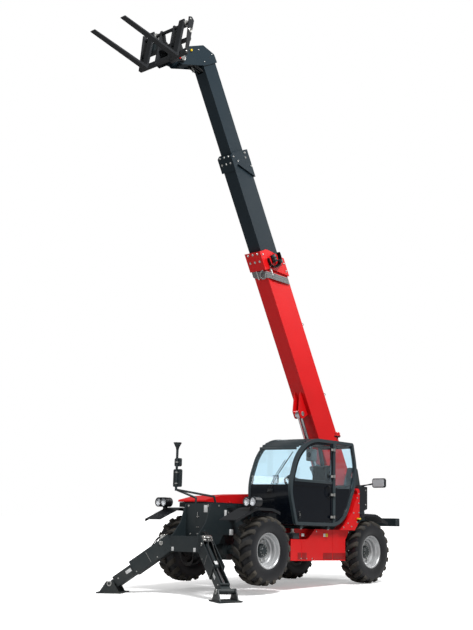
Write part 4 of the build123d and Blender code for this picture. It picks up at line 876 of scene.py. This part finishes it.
    def head(self):
        bm = bmesh.new()
        for side in (1, -1):
            y = side * self.HEAD_SIDE
            bar(bm, (8.613, y, 0.047), (8.613, y + side * 0.003, 0.047), 0.013, 1, 16)
            for along, up in ((8.66, 0.14), (8.8, -0.2), (8.56, -0.14)):
                bolt(bm, (along, y, up), (0, side, 0), 0.01, 0.007, 0)
            turned(bm, [(0.012, 0.062), (0.022, 0.062), (0.026, 0.056), (0.026, 0.036), (0.034, 0.034),
                        (0.034, 0)], (8.727, side * 0.185, -0.751), (0, side, 0), 0, 28)
        bar(bm, (8.44, -0.1, -0.235), (8.6, -0.1, -0.235), 0.03, 0, 20, 0.004)
        bar(bm, (8.6, -0.1, -0.235), (8.63, -0.1, -0.235), 0.032, 2, 20, 0.004)
        block(bm, (8.47, -0.128, -0.235), (8.5, -0.072, -0.178), 0.003, 1)
        block(bm, (8.8, self.HEAD_SIDE - 0.002, -0.45), (8.84, self.HEAD_SIDE + 0.03, -0.41), 0.004, 3)
        for i in (-1, 0, 1):
            hose(bm, [(8.4, 0.09 * i, -0.2), (8.5, 0.09 * i, -0.3), (8.6, 0.085 * i, -0.46),
                      (8.7, 0.08 * i, -0.6)], 0.011, 1)
        make("boom_head_fittings", bm, "boom_3", ("zinc", "hose", "beacon", "yellow"), BOOM)


class TELEHANDLER_OT_carriage(bpy.types.Operator):
    """Add shaft rings, pin caps, bolts, a valve block and its hoses to the carriage"""
    bl_idname = "telehandler.carriage"
    bl_label = "Carriage Fittings"

    SHAFT_X, SHAFT_Z, RINGS = 0.3, 0.45, (0.322, 0.478)      # the forks' shaft and the rings either side
    SIDE_Y, TAIL_Y = 0.62, 0.182                               # outer faces of the carriage and of its tail

    def execute(self, context):
        self.bolts()
        self.valves()
        return {"FINISHED"}

    def bolts(self):
        bm, x = bmesh.new(), self.SHAFT_X
        for side in (1, -1):
            for across in self.RINGS:
                turned(bm, [(-0.016, 0.0325), (-0.016, 0.056), (0.016, 0.056), (0.016, 0.0325)],
                       (x, side * across, self.SHAFT_Z), (0, 1, 0), 0, 28, closed=True)
                bolt(bm, (x + 0.054, side * across, self.SHAFT_Z + 0.005), (1, 0, 0.1), 0.008, 0.01, 0)
            turned(bm, [(0, 0.044), (0.01, 0.044), (0.013, 0.04), (0.013, 0.022), (0.002, 0.022), (0.002, 0)],
                   (0.311, side * self.SIDE_Y, 0.246), (0, side, 0), 0, 28)
            for along, up in ((x, -0.19), (0.352, 0.47)):
                bolt(bm, (along, side * self.SIDE_Y, up), (0, side, 0), 0.012, 0.009, 0)
            for z in (0.0, 0.1, 0.2):
                bolt(bm, (0.18 + 0.2 * z, side * self.TAIL_Y, z - 0.1), (0, side, 0), 0.01, 0.008, 0)
        make("carriage_rings_and_bolts", bm, "carriage", ("zinc",), TOOL)

    def valves(self):
        """Four valves side by side, each with its hose to the boom."""
        valve = bmesh.new()
        block(valve, (0.235, -0.44, 0.118), (0.315, -0.2, 0.3), 0.008, 1)
        for i in range(4):
            y = -0.41 + 0.06 * i
            bar(valve, (0.275, y, 0.29), (0.275, y, 0.335), 0.017, 0, 14, 0.002)
            bar(valve, (0.225, y, 0.17), (0.245, y, 0.17), 0.015, 0, 6, 0.002)
            hose(valve, [(0.275, y, 0.33), (0.272, y, 0.375), (0.22, y + 0.03, 0.385), (0.14, y + 0.08, 0.33),
                         (0.09, y * 0.35 - 0.03, 0.18), (0.05, y * 0.25, 0.08)], 0.0115, 2)
        bar(valve, (0.066, self.TAIL_Y, -0.061), (0.066, 0.205, -0.061), 0.014, 3, 14, 0.002)
        make("carriage_valve_block", valve, "carriage", ("zinc", "grey", "hose", "beacon"),
             TOOL)


class TELEHANDLER_OT_frame(bpy.types.Operator):
    """Add the main frame's blank plates, bolts, pin caps, hoses and filler cap"""
    bl_idname = "telehandler.frame"
    bl_label = "Frame Fittings"

    NOSE, SIDE = 2.2, 0.32              # front face of the nose, outer face of a side plate
    BOOM_PIN = (-2.0, 2.12)             # X and Z
    FILLER = Vector((-1.125, 1.098, 1.15))
    # blank plates: middle, half size across, half size up, whether the plate faces forward
    PLATES = [((NOSE, 0.183, 1.299), 0.045, 0.062, True), ((1.832, SIDE, 1.232), 0.03, 0.055, False),
              ((1.668, SIDE, 0.905), 0.05, 0.05, False), ((2.53, -0.28, 0.594), 0.028, 0.034, True),
              ((2.53, 0.258, 0.589), 0.028, 0.034, True)]
    # bolts: place, outward, radius
    BOLTS = [((NOSE, -0.24, 1.35), (1, 0, 0), 0.016), ((NOSE, 0.24, 1.35), (1, 0, 0), 0.016),
             ((2.008, SIDE, 1.355), (0, 1, 0), 0.013), ((1.75, SIDE, 1.24), (0, 1, 0), 0.013),
             ((1.55, SIDE, 1.13), (0, 1, 0), 0.013), ((NOSE, -0.18, 0.86), (1, 0, 0), 0.012),
             ((NOSE, 0.18, 0.86), (1, 0, 0), 0.012), ((NOSE, 0.0, 0.86), (1, 0, 0), 0.012)]

    def execute(self, context):
        labels = bmesh.new()
        for (x, y, z), across, up, forward in self.PLATES:
            if forward:
                block(labels, (x - 0.001, y - across, z - up), (x + 0.0015, y + across, z + up), 0.001)
            else:
                block(labels, (x - across, y - 0.001, z - up), (x + across, y + 0.0015, z + up), 0.001)
        make("frame_blank_plates", labels, "chassis", ("label",))
        self.bolts()
        self.hoses()
        cap, middle = bmesh.new(), self.FILLER
        bar(cap, middle, middle + Vector((0, 0, 0.062)), 0.022, 1, 20, 0.003)
        turned(cap, [(0, 0), (0, 0.044), (0.004, 0.047), (0.024, 0.047), (0.029, 0.041), (0.029, 0)],
               middle + Vector((0, 0, 0.058)), (0, 0, 1), 0, 24)
        make("filler_cap", cap, "chassis", ("yellow", "plastic"))
        return {"FINISHED"}

    def bolts(self):
        bm = bmesh.new()
        for place, outward, radius in self.BOLTS:
            bolt(bm, place, outward, radius, 0.01)
        x, z = self.BOOM_PIN
        for side in (1, -1):
            turned(bm, [(0.001, 0.1), (0.01, 0.1), (0.012, 0.097), (0.012, 0.062), (0.001, 0.062)],
                   (x, side * self.SIDE, z), (0, side, 0), 1, 36, closed=True)
            for i in range(3):
                turn = 2 * math.pi * i / 3
                bolt(bm, (x + 0.082 * math.sin(turn), side * (self.SIDE + 0.012), z + 0.082 * math.cos(turn)),
                     (0, side, 0), 0.01, 0.008)
            for along in (-0.15, 0.65):
                y = -0.3 if side < 0 else 1.09
                bar(bm, (along, y, 1.006), (along, y, 0.99), 0.018, 0, 6, 0.002)
        for y in (-0.02, 0.02):
            for z in (1.16, 0.98):
                bar(bm, (self.NOSE, y, z), (self.NOSE + 0.015, y, z), 0.007, 0, 10)
        bar(bm, (self.NOSE + 0.016, 0, 1.14), (self.NOSE + 0.016, 0, 1.24), 0.006, 0, 10)
        make("frame_bolts_and_caps", bm, "chassis", ("zinc", "grey"))

    def hoses(self):
        """Three to the right leg's jack under the beam, and three to the boom's tail."""
        bm = bmesh.new()
        radius = sizes().hose_radius
        for i in range(3):
            drop = 0.02 * i
            hose(bm, [(2.3, -0.36 + drop, 0.552), (2.28, -0.35 + drop, 0.47), (2.26, -0.28, 0.38 - drop),
                      (2.25, -0.17, 0.345 - drop), (2.25, -0.06, 0.39 - drop), (2.27, -0.02, 0.5),
                      (2.28, -0.02, 0.553)], radius * 0.75)
            hose(bm, [(-1.75, -0.04 + 0.04 * i, 1.8), (-1.9, -0.05 + 0.05 * i, 1.62),
                      (-2.05, -0.06 + 0.06 * i, 1.75), (-2.12, -0.06 + 0.06 * i, 1.98)], radius)
        make("frame_hoses", bm, "chassis", ("hose",))


class TELEHANDLER_OT_legs(bpy.types.Operator):
    """Add jack brackets, ring pins, labels and hoses to the stabiliser legs"""
    bl_idname = "telehandler.legs"
    bl_label = "Stabiliser Fittings"

    SLEEVE_Y, LEG_Y, CHEEK_Y = 0.105, 0.085, 0.166      # outer faces of the sleeve, inner leg and foot
    JACK_Z = 0.045                                      # the jack above the leg's middle line
    SKIN = 0.02615                                      # radius of the chrome on the jack's rod

    def execute(self, context):
        for hand, side in SIDES.items():
            self.sleeve(hand, LEG[side])
            self.hoses(hand, LEG[side])
            self.inner(hand, LEG[side])
            self.foot(hand, LEG[side])
        return {"FINISHED"}

    def sleeve(self, hand, place):
        bm = bmesh.new()
        block(bm, (-0.02, -0.085, 0.125), (0.115, 0.085, 0.165), 0.006)
        block(bm, (0.03, -0.055, 0.16), (0.095, 0.055, 0.205), 0.008)
        bar(bm, (0.062, -0.075, 0.185), (0.062, 0.075, 0.185), 0.014, 0, 16, 0.002)
        for y in (-0.062, 0.062):
            bolt(bm, (0.0, y, 0.165), (0, 0, 1), 0.012, 0.01)
        for edge in (1, -1):
            y, outward = edge * self.SLEEVE_Y, (0, edge, 0)
            turned(bm, [(0, 0.036), (0.01, 0.036), (0.012, 0.033), (0.012, 0.021), (0.003, 0.02), (0.003, 0)],
                   (0.115, y, 0.075), outward, 0, 28)
            turned(bm, [(0, 0.024), (0.006, 0.024), (0.006, 0)], (0.1, y, -0.06), outward, 1, 24)
            block(bm, (0.44, y, -0.1), (0.446, y + edge * 0.003, 0.09), 0.001)
            for x in (0.3, 0.76):
                bolt(bm, (x, y, -0.09), outward, 0.009, 0.006)
        block(bm, (0.6, -0.028, 0.0885), (0.69, 0.028, 0.0915), 0.001, 2)
        turned(bm, [(0, 0.0455), (0, 0.052), (0.03, 0.052), (0.034, 0.048), (0.034, 0.0268)],
               (0.71, 0, self.JACK_Z), (1, 0, 0), 1, 32)
        make(f"sleeve_fittings_{hand}", bm, "chassis", ("zinc", "grey", "label"), place)

    def hoses(self, hand, place):
        """A pair from the bracket to the jack's gland, and a pair from the bracket to the beam."""
        bm = bmesh.new()
        for i in (-1, 1):
            for line in (((0.07, 0.03, 0.2), (0.16, 0.03, 0.205), (0.26, 0.045, 0.15), (0.4, 0.05, 0.115),
                          (0.55, 0.05, 0.105), (0.66, 0.035, 0.085)),
                         ((0.03, 0.02, 0.19), (-0.04, 0.02, 0.2), (-0.12, 0.02, 0.165), (-0.2, 0.02, 0.1))):
                hose(bm, [(x, y * i, z) for x, y, z in line], 0.009)
        make(f"jack_hoses_{hand}", bm, "chassis", ("hose",), place)

    def inner(self, hand, place):
        bm = bmesh.new()
        for edge in (1, -1):
            block(bm, (0.83, edge * self.LEG_Y, -0.03), (0.95, edge * (self.LEG_Y + 0.0015), 0.03), 0.0005)
            bolt(bm, (1.12, edge * self.LEG_Y, 0.0), (0, edge, 0), 0.01, 0.004, 1)
        bar(bm, (0.485, 0, self.JACK_Z), (LEG_LENGTH - 0.108, 0, self.JACK_Z), self.SKIN, 2, 32)
        make(f"leg_plates_{hand}", bm, f"leg_{hand}", ("label", "zinc", "chrome"), place)

    def foot(self, hand, place):
        bm = bmesh.new()
        for edge in (1, -1):
            turned(bm, [(0.0, 0.0255), (0.0, 0.046), (0.01, 0.046), (0.013, 0.042), (0.013, 0.0255)],
                   (LEG_LENGTH, edge * self.CHEEK_Y, 0), (0, edge, 0), 0, 32, closed=True)
            start, end = self.CHEEK_Y + 0.013, self.CHEEK_Y + 0.017
            bar(bm, (LEG_LENGTH, edge * start, 0), (LEG_LENGTH, edge * end, 0), 0.017, 1, 20)
        make(f"foot_pin_rings_{hand}", bm, f"foot_{hand}", ("zinc", "grey"), place)


class TELEHANDLER_OT_bodywork(bpy.types.Operator):
    """Add the bodywork's bolts, plates, step bracket, hood latches and tank cap"""
    bl_idname = "telehandler.bodywork"
    bl_label = "Bodywork Fittings"

    PANEL_Y, BOX_Y = 1.08, 1.0             # outer faces of the rear bodywork and of the side box
    # (x, z) of the bolts, their face, radius and height
    BOLTS = [(((-1.155, 1.7), (-1.155, 1.52), (-1.155, 1.34), (-1.105, 1.62), (-0.985, 1.33), (-0.8, 1.13),
               (-0.92, 1.07), (-1.1, 1.16), (-0.66, 1.05)), PANEL_Y, 0.011, 0.008),
             (((-0.93, 0.96), (0.08, 0.96), (-0.93, 0.62)), BOX_Y, 0.01, 0.007),
             (((0.52, 0.47), (0.36, 0.47), (0.2, 0.47)), BOX_Y, 0.009, 0.006)]
    # blank plates on the side box: x from and to, z from and to, finish
    PLATES = [(-0.2, -0.135, 0.865, 0.925, 0), (-0.27, -0.2, 0.865, 0.925, 1), (0.44, 0.52, 0.865, 0.915, 0)]
    LOW_PANELS = ((0.518, 0.62), (0.36, 0.498), (-0.41, -0.13), (-0.83, -0.43))

    def execute(self, context):
        bm = bmesh.new()
        for places, face, radius, height in self.BOLTS:
            for x, z in places:
                bolt(bm, (x, face, z), (0, 1, 0), radius, height)
        make("bodywork_bolts", bm, "chassis", ("zinc",))
        labels, panels = bmesh.new(), bmesh.new()
        for x0, x1, z0, z1, tone in self.PLATES:
            block(labels, (x0, self.BOX_Y - 0.001, z0), (x1, self.BOX_Y + 0.0015, z1), 0.0005, tone)
        make("side_box_blank_plates", labels, "chassis", ("label", "yellow"))
        for x0, x1 in self.LOW_PANELS:
            block(panels, (x0, self.BOX_Y - 0.002, 0.455), (x1, self.BOX_Y + 0.002, 0.575), 0.001)
        make("side_box_low_panels", panels, "chassis", ("dark_red",))
        step, latch, tank = bmesh.new(), bmesh.new(), bmesh.new()
        block(step, (0.555, 0.74, 0.815), (0.735, 0.98, 0.92), 0.006)
        turned(step, [(0, 0), (0, 0.045), (0.012, 0.045), (0.016, 0.03), (0.075, 0.03), (0.08, 0.024),
                      (0.08, 0)], (0.66, 0.9, 0.919), (0, 0, 1), 1, 24)
        make("step_bracket", step, "chassis", ("cab", "zinc"))
        for x in (-0.7, 1.2):
            block(latch, (x - 0.06, -1.092, 1.462), (x + 0.06, -1.078, 1.512), 0.006)
            block(latch, (x - 0.04, -1.104, 1.475), (x + 0.04, -1.09, 1.497), 0.005, 1)
        make("hood_latches", latch, "engine_hood", ("plastic", "zinc"))
        turned(tank, [(0, 0), (0, 0.058), (0.004, 0.062), (0.034, 0.062), (0.04, 0.054), (0.04, 0)],
               (-1.34, 0.76, 1.85), (0, 0, 1), 0, 28)
        for z in (1.5, 1.78):
            bolt(tank, (-1.44, 1.04, z), (0, 1, 0), 0.01, 0.008, 1)
        make("tank_cap", tank, "chassis", ("plastic", "zinc"))
        return {"FINISHED"}


class TELEHANDLER_OT_cab(bpy.types.Operator):
    """Add the cab's wiper, roof guard, hinges, belt bar, lock, handle, speaker and dash pieces"""
    bl_idname = "telehandler.cab"
    bl_label = "Cab Fittings"

    SCREEN_OUT = Vector((0.93, 0.26, 0.18)).normalized()            # out of the windscreen at the wiper
    WIPER_PIVOT, WIPER_TIP = Vector((1.09, 0.725, 1.66)), Vector((0.905, 0.96, 2.2))
    WIPER_GAP = Vector((0, -0.035, 0.0105))                         # between the wiper's two arms
    # ends of the roof guard's bars along the outer hoop and the inner hoop, (x, z)
    RUNGS = [((0.8, 2.47), (0.985, 2.47)), ((0.735, 2.52), (0.905, 2.52)),
             ((0.66, 2.562), (0.82, 2.562)), ((0.58, 2.595), (0.725, 2.595)),
             ((0.495, 2.62), (0.625, 2.62)), ((0.4, 2.638), (0.51, 2.638))]
    OUTER_HOOP_Y, INNER_HOOP_Y = 1.065, 0.335
    HINGE_X, HINGE_Y, HINGES = -0.29, 1.137, (1.23, 1.64, 1.98, 2.48)
    LOCK = (0.7, 1.096, 1.247)
    STEERING_HUB, STEERING_AXIS = Vector((0.375, 0.7, 1.82)), Vector((-0.255, 0, 0.35)).normalized()

    def execute(self, context):
        self.wiper()
        self.guard()
        self.door()
        self.inside()
        return {"FINISHED"}

    def wiper(self):
        bm = bmesh.new()
        outward, pivot, tip = self.SCREEN_OUT, self.WIPER_PIVOT, self.WIPER_TIP
        bar(bm, pivot - outward * 0.01, pivot + outward * 0.045, 0.024, 0, 20, 0.003)
        block(bm, (-0.05, -0.03, -0.01), (0.05, 0.03, 0.03), 0.006, 0,
              Matrix.Translation(pivot) @ outward.to_track_quat("Z", "Y").to_matrix().to_4x4())
        for arm in (0, 1):
            low = pivot + outward * 0.035 + self.WIPER_GAP * arm
            high = tip + outward * 0.03 + self.WIPER_GAP * arm
            middle = (low + high) / 2 + outward * 0.025
            hose(bm, [low, low.lerp(middle, 0.5), middle, middle.lerp(high, 0.5), high], 0.006)
        blade = Vector((-0.11, 0.1, 0.24)).normalized()
        hose(bm, [tip + outward * 0.026 - blade * 0.26, tip + outward * 0.018,
                  tip + outward * 0.004 + blade * 0.2], 0.008)
        make("windscreen_wiper", bm, "chassis", ("plastic",))

    def guard(self):
        bm = bmesh.new()
        for (x0, z0), (x1, z1) in self.RUNGS:
            start = Vector((x0 - 0.03, self.OUTER_HOOP_Y, z0 - 0.028))
            end = Vector((x1 - 0.03, self.INNER_HOOP_Y, z1 - 0.028))
            along = end - start
            place = Matrix.Translation((start + end) / 2) @ along.to_track_quat("Y", "Z").to_matrix().to_4x4()
            half = along.length / 2
            block(bm, (-0.006, -half, -0.026), (0.006, half, 0.026), 0.002, 0, place)
        make("roof_guard_bars", bm, "chassis", ("cab",))

    def door(self):
        bm, lock = bmesh.new(), bmesh.new()
        x, y = self.HINGE_X, self.HINGE_Y
        for z in self.HINGES:
            block(bm, (x + 0.022, y - 0.0055, z - 0.022), (x + 0.106, y - 0.0025, z + 0.022), 0.001)
            for along in (0.055, 0.085):
                bolt(bm, (x + along, y - 0.0025, z), (0, 1, 0), 0.007, 0.005)
            bar(bm, (x, y, z + 0.0255), (x, y, z + 0.03), 0.0145, 0, 16, 0.001)
            bar(bm, (x, y, z - 0.0255), (x, y, z + 0.0255), 0.0157, 0, 20)
        hose(bm, [(-0.13, 1.105, 1.6), (-0.13, 1.15, 1.605), (-0.13, 1.158, 1.66), (-0.13, 1.158, 1.74),
                  (-0.13, 1.15, 1.795), (-0.13, 1.105, 1.8)], 0.01, 1)
        block(bm, (-0.265, 1.094, 1.838), (0.865, 1.112, 1.888), 0.006, 2)
        make("door_hinges_and_handle", bm, "cab_door", ("zinc", "plastic", "cab"))
        turned(lock, [(0.0, 0.039), (0.01, 0.039), (0.013, 0.0366), (0.013, 0.03), (0.004, 0.0276),
                      (0.004, 0.0)], (0, 0, 0), (0, 1, 0), 1, 32)
        bmesh.ops.scale(lock, vec=(1.0, 1.0, 1.75), verts=lock.verts)
        bmesh.ops.translate(lock, vec=self.LOCK, verts=lock.verts)
        block(lock, (0.694, 1.099, 1.225), (0.706, 1.112, 1.27), 0.003)
        make("door_lock", lock, "cab_door", ("zinc", "plastic"))

    def inside(self):
        bm, rim = bmesh.new(), bmesh.new()
        block(bm, (0.08, 0.86, 2.25), (0.24, 1.00, 2.47), 0.015)
        bar(bm, (0.16, 0.93, 2.46), (0.16, 0.93, 2.62), 0.018, 0, 16)
        bar(bm, (0.245, 0.93, 2.36), (0.235, 0.93, 2.36), 0.05, 1, 24, 0.003)
        bar(bm, (0.8, 0.66, 1.72), (0.86, 0.66, 1.86), 0.01, 1, 12)
        block(bm, (0.855, 0.6, 1.8), (0.885, 0.73, 1.95), 0.01, 1)
        block(bm, (0.886, 0.61, 1.81), (0.8865, 0.72, 1.94), 0.0, 2)
        turned(bm, [(0, 0.05), (0.02, 0.052), (0.024, 0.044), (0.016, 0.04), (0.016, 0)], (0.8, 0.94, 1.9),
               (1, 0, 0), 1, 28)
        bar(bm, (0.79, 0.94, 1.73), (0.79, 0.94, 1.88), 0.01, 1, 12)
        make("cab_dash_pieces", bm, "chassis", ("grey_hose", "plastic", "mirror"))
        hub, axis = self.STEERING_HUB, self.STEERING_AXIS
        turned(rim, circle(0.19, 0.012, 10), hub + axis * 0.016, axis, 0, 48, closed=True)
        turned(rim, [(0.0, 0.05), (0.03, 0.045), (0.036, 0.03), (0.036, 0)], hub, axis, 0, 24)
        make("steering_wheel_grip", rim, "chassis", ("plastic",))


class TELEHANDLER_OT_seat(bpy.types.Operator):
    """Sew and stuff the driver's seat"""
    bl_idname = "telehandler.seat"
    bl_label = "Seat"

    SEAT_X, SEAT_Y = -0.22, 0.7
    VOXEL, FRAMES, SWELL = 0.008, 20, 0.022     # mesh size, run of the cloth, how far the skin may swell
    PRESSURE = 4
    CHANNELS, CHANNEL_WIDTH, CHANNEL_DEPTH = (-0.27, 0.27), 0.022, 0.16     # as parts of the pad's own size

    def execute(self, context):
        x, y = self.SEAT_X, self.SEAT_Y
        cushion = self.pad("seat_cushion", (x - 0.235, y - 0.225, 1.455), (x + 0.235, y + 0.225, 1.56),
                           Matrix.Identity(4))
        lean = _shift(x - 0.19, y, 1.57) @ Matrix.Rotation(math.radians(-6.5), 4, "Y")
        back = self.pad("seat_back", (-0.05, -0.225, 0.025), (0.05, 0.225, 0.66), lean)
        base = bmesh.new()
        block(base, (x - 0.02, y - 0.17, 1.085), (x + 0.2, y + 0.17, 1.3), 0.02, 0)
        for i in range(6):
            block(base, (x - 0.03 + 0.002 * (i % 2), y - 0.175, 1.3 + 0.022 * i),
                  (x + 0.205, y + 0.175, 1.318 + 0.022 * i), 0.007, 0)
        block(base, (x - 0.23, y - 0.215, 1.43), (x + 0.22, y + 0.215, 1.462), 0.012, 1)
        for edge in (1, -1):
            rail, rest, post = y + edge * 0.238, y + edge * 0.245, y + edge * 0.232
            block(base, (x - 0.2, rail - 0.012, 1.44), (x + 0.05, rail + 0.012, 1.5), 0.01, 1)
            block(base, (x - 0.17, rest - 0.025, 1.7), (x + 0.14, rest + 0.025, 1.735), 0.015, 1)
            bar(base, (x - 0.15, post, 1.5), (x - 0.15, post, 1.72), 0.014, 1, 12)
        make("seat_base", base, "chassis", ("inside", "plastic"), replaced=("cab_seat",))
        return {"FINISHED"}

    def pad(self, name, low, high, place):
        """A box swelled by cloth under pressure, with two sewn channels."""
        bm = bmesh.new()
        block(bm, low, high, 0.03)
        piece = add_object(name, to_mesh(name, bm))
        piece.data.transform(place)
        bpy.context.view_layer.objects.active = piece
        remesh = piece.modifiers.new("Remesh", "REMESH")
        remesh.mode, remesh.voxel_size = "VOXEL", self.VOXEL
        self.apply(piece, remesh)
        rest = [v.co.copy() for v in piece.data.vertices]
        cloth = piece.modifiers.new("Cloth", "CLOTH")
        cloth.settings.use_pressure = True
        cloth.settings.uniform_pressure_force = self.PRESSURE
        cloth.settings.effector_weights.gravity = 0
        cloth.point_cache.frame_start, cloth.point_cache.frame_end = 1, self.FRAMES
        for number in range(1, self.FRAMES + 1):
            bpy.context.scene.frame_set(number)
        self.apply(piece, cloth)
        bpy.context.scene.frame_set(1)
        for vert, start in zip(piece.data.vertices, rest):
            moved = vert.co - start
            if moved.length > self.SWELL:
                vert.co = start + moved.normalized() * self.SWELL
        self.seams(piece.data, place.inverted(), low, high)
        finer = piece.modifiers.new("Subdivision", "SUBSURF")
        finer.levels = finer.render_levels = 1
        self.apply(piece, finer)
        piece.data.transform(GROUND)
        piece.data.shade_smooth()
        piece.data.materials.append(paint("cloth"))
        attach(piece, "chassis")
        return piece

    def apply(self, piece, modifier):
        with bpy.context.temp_override(object=piece, active_object=piece, selected_objects=[piece]):
            bpy.ops.object.modifier_apply(modifier=modifier.name)

    def seams(self, mesh, inverse, low, high):
        """Pull the skin in along two lengthways channels, on the broad face."""
        size = [b - a for a, b in zip(low, high)]
        thin = size.index(min(size))
        for vert in mesh.vertices:
            at = inverse @ vert.co
            across = (at.y - (low[1] + high[1]) / 2) / size[1]
            pull = sum(math.exp(-((across - line) / self.CHANNEL_WIDTH) ** 2) for line in self.CHANNELS)
            middle = (low[thin] + high[thin]) / 2
            at[thin] = middle + (at[thin] - middle) * (1 - self.CHANNEL_DEPTH * min(pull, 1))
            vert.co = inverse.inverted() @ at


class TELEHANDLER_OT_mirrors(bpy.types.Operator):
    """Add the mirror glasses and their rims, the mast's top and clamps, and the beacon's base"""
    bl_idname = "telehandler.mirrors"
    bl_label = "Mirrors and Beacon"

    # x of the face, the way it faces, y from and to, z from and to, corner radius
    FACES = ((-1.435, 1, 1.206, 1.494, 1.836, 2.004, 0.036), (2.13, -1, -0.694, -0.506, 1.696, 2.004, 0.026),
             (2.13, -1, -0.674, -0.526, 2.066, 2.204, 0.026))
    LAYERS = ((0.0, 0.005, 1), (0.012, 0.008, 0))       # rim and glass: inset, how far it stands out, finish
    MAST = Vector((2.18, -0.6, 0))
    BEACON = Vector((-0.88, 0.76, 0))

    def execute(self, context):
        bm, lamp, base, up = bmesh.new(), bmesh.new(), bmesh.new(), (0, 0, 1)
        for x, way, y0, y1, z0, z1, corner in self.FACES:
            for inset, out, tone in self.LAYERS:
                pane(bm, (x - way * 0.001, y0 + inset, z0 + inset), (x + way * out, y1 - inset, z1 - inset),
                     corner - inset / 2, tone)
        make("mirror_glasses", bm, "chassis", ("mirror", "plastic"))
        turned(lamp, [(0.0, 0.0), (0.0, 0.068), (0.01, 0.076), (0.016, 0.074), (0.016, 0.06), (0.008, 0.052),
                      (0.004, 0.0)], self.MAST + Vector((0, 0, 2.478)), up, 0, 32)
        turned(lamp, [(-0.02, 0.026), (0.03, 0.034), (0.034, 0.03), (0.034, 0.0)],
               self.MAST + Vector((0, 0, 2.385)), up, 0, 24)
        for z in (1.75, 1.95, 2.135):
            turned(lamp, [(-0.012, 0.0235), (-0.012, 0.031), (0.012, 0.031), (0.012, 0.0235)],
                   self.MAST + Vector((0, 0, z)), up, 1, 20, closed=True)
            block(lamp, (2.16, -0.612, z - 0.01), (2.172, -0.588, z + 0.01), 0.002, 1)
        make("mast_top_and_clamps", lamp, "chassis", ("plastic", "zinc"))
        turned(base, [(-0.012, 0.0), (-0.012, 0.05), (0.006, 0.064), (0.012, 0.0625), (0.012, 0.0)],
               self.BEACON + Vector((0, 0, 2.8)), up, 0, 32)
        turned(base, [(0.0, 0.0185), (0.0, 0.04), (0.01, 0.038), (0.014, 0.024), (0.014, 0.0185)],
               self.BEACON + Vector((0, 0, 2.662)), up, 0, 24)
        make("beacon_base", base, "chassis", ("plastic",))
        return {"FINISHED"}


# ---- the panel and the run ----
OPERATORS = [
    TELEHANDLER_OT_stage, TELEHANDLER_OT_paint, TELEHANDLER_OT_tyres, TELEHANDLER_OT_wheels,
    TELEHANDLER_OT_lamps, TELEHANDLER_OT_boom, TELEHANDLER_OT_carriage, TELEHANDLER_OT_frame,
    TELEHANDLER_OT_legs, TELEHANDLER_OT_bodywork, TELEHANDLER_OT_cab, TELEHANDLER_OT_seat,
    TELEHANDLER_OT_mirrors,
]


class TELEHANDLER_PT_pieces(bpy.types.Panel):
    """Lists the settings and the pieces"""
    bl_idname = "TELEHANDLER_PT_pieces"
    bl_label = "Telehandler"
    bl_space_type = "VIEW_3D"
    bl_region_type = "UI"
    bl_category = "Telehandler"

    def draw(self, context):
        for group in (context.scene.telehandler_sizes, context.scene.telehandler_colours):
            for name in group.bl_rna.properties.keys():
                if name not in ("rna_type", "name"):
                    self.layout.prop(group, name)
        for operator in OPERATORS:
            self.layout.operator(operator.bl_idname)


CLASSES = [TelehandlerSizes, TelehandlerColours, *OPERATORS, TELEHANDLER_PT_pieces]


def register():
    for made in CLASSES:
        bpy.utils.register_class(made)
    bpy.types.Scene.telehandler_sizes = PointerProperty(type=TelehandlerSizes)
    bpy.types.Scene.telehandler_colours = PointerProperty(type=TelehandlerColours)


def unregister():
    del bpy.types.Scene.telehandler_colours
    del bpy.types.Scene.telehandler_sizes
    for made in reversed(CLASSES):
        bpy.utils.unregister_class(made)


def main():
    register()
    for operator in OPERATORS:
        group, name = operator.bl_idname.split(".")
        getattr(getattr(bpy.ops, group), name)()


if __name__ == "__main__":
    main()
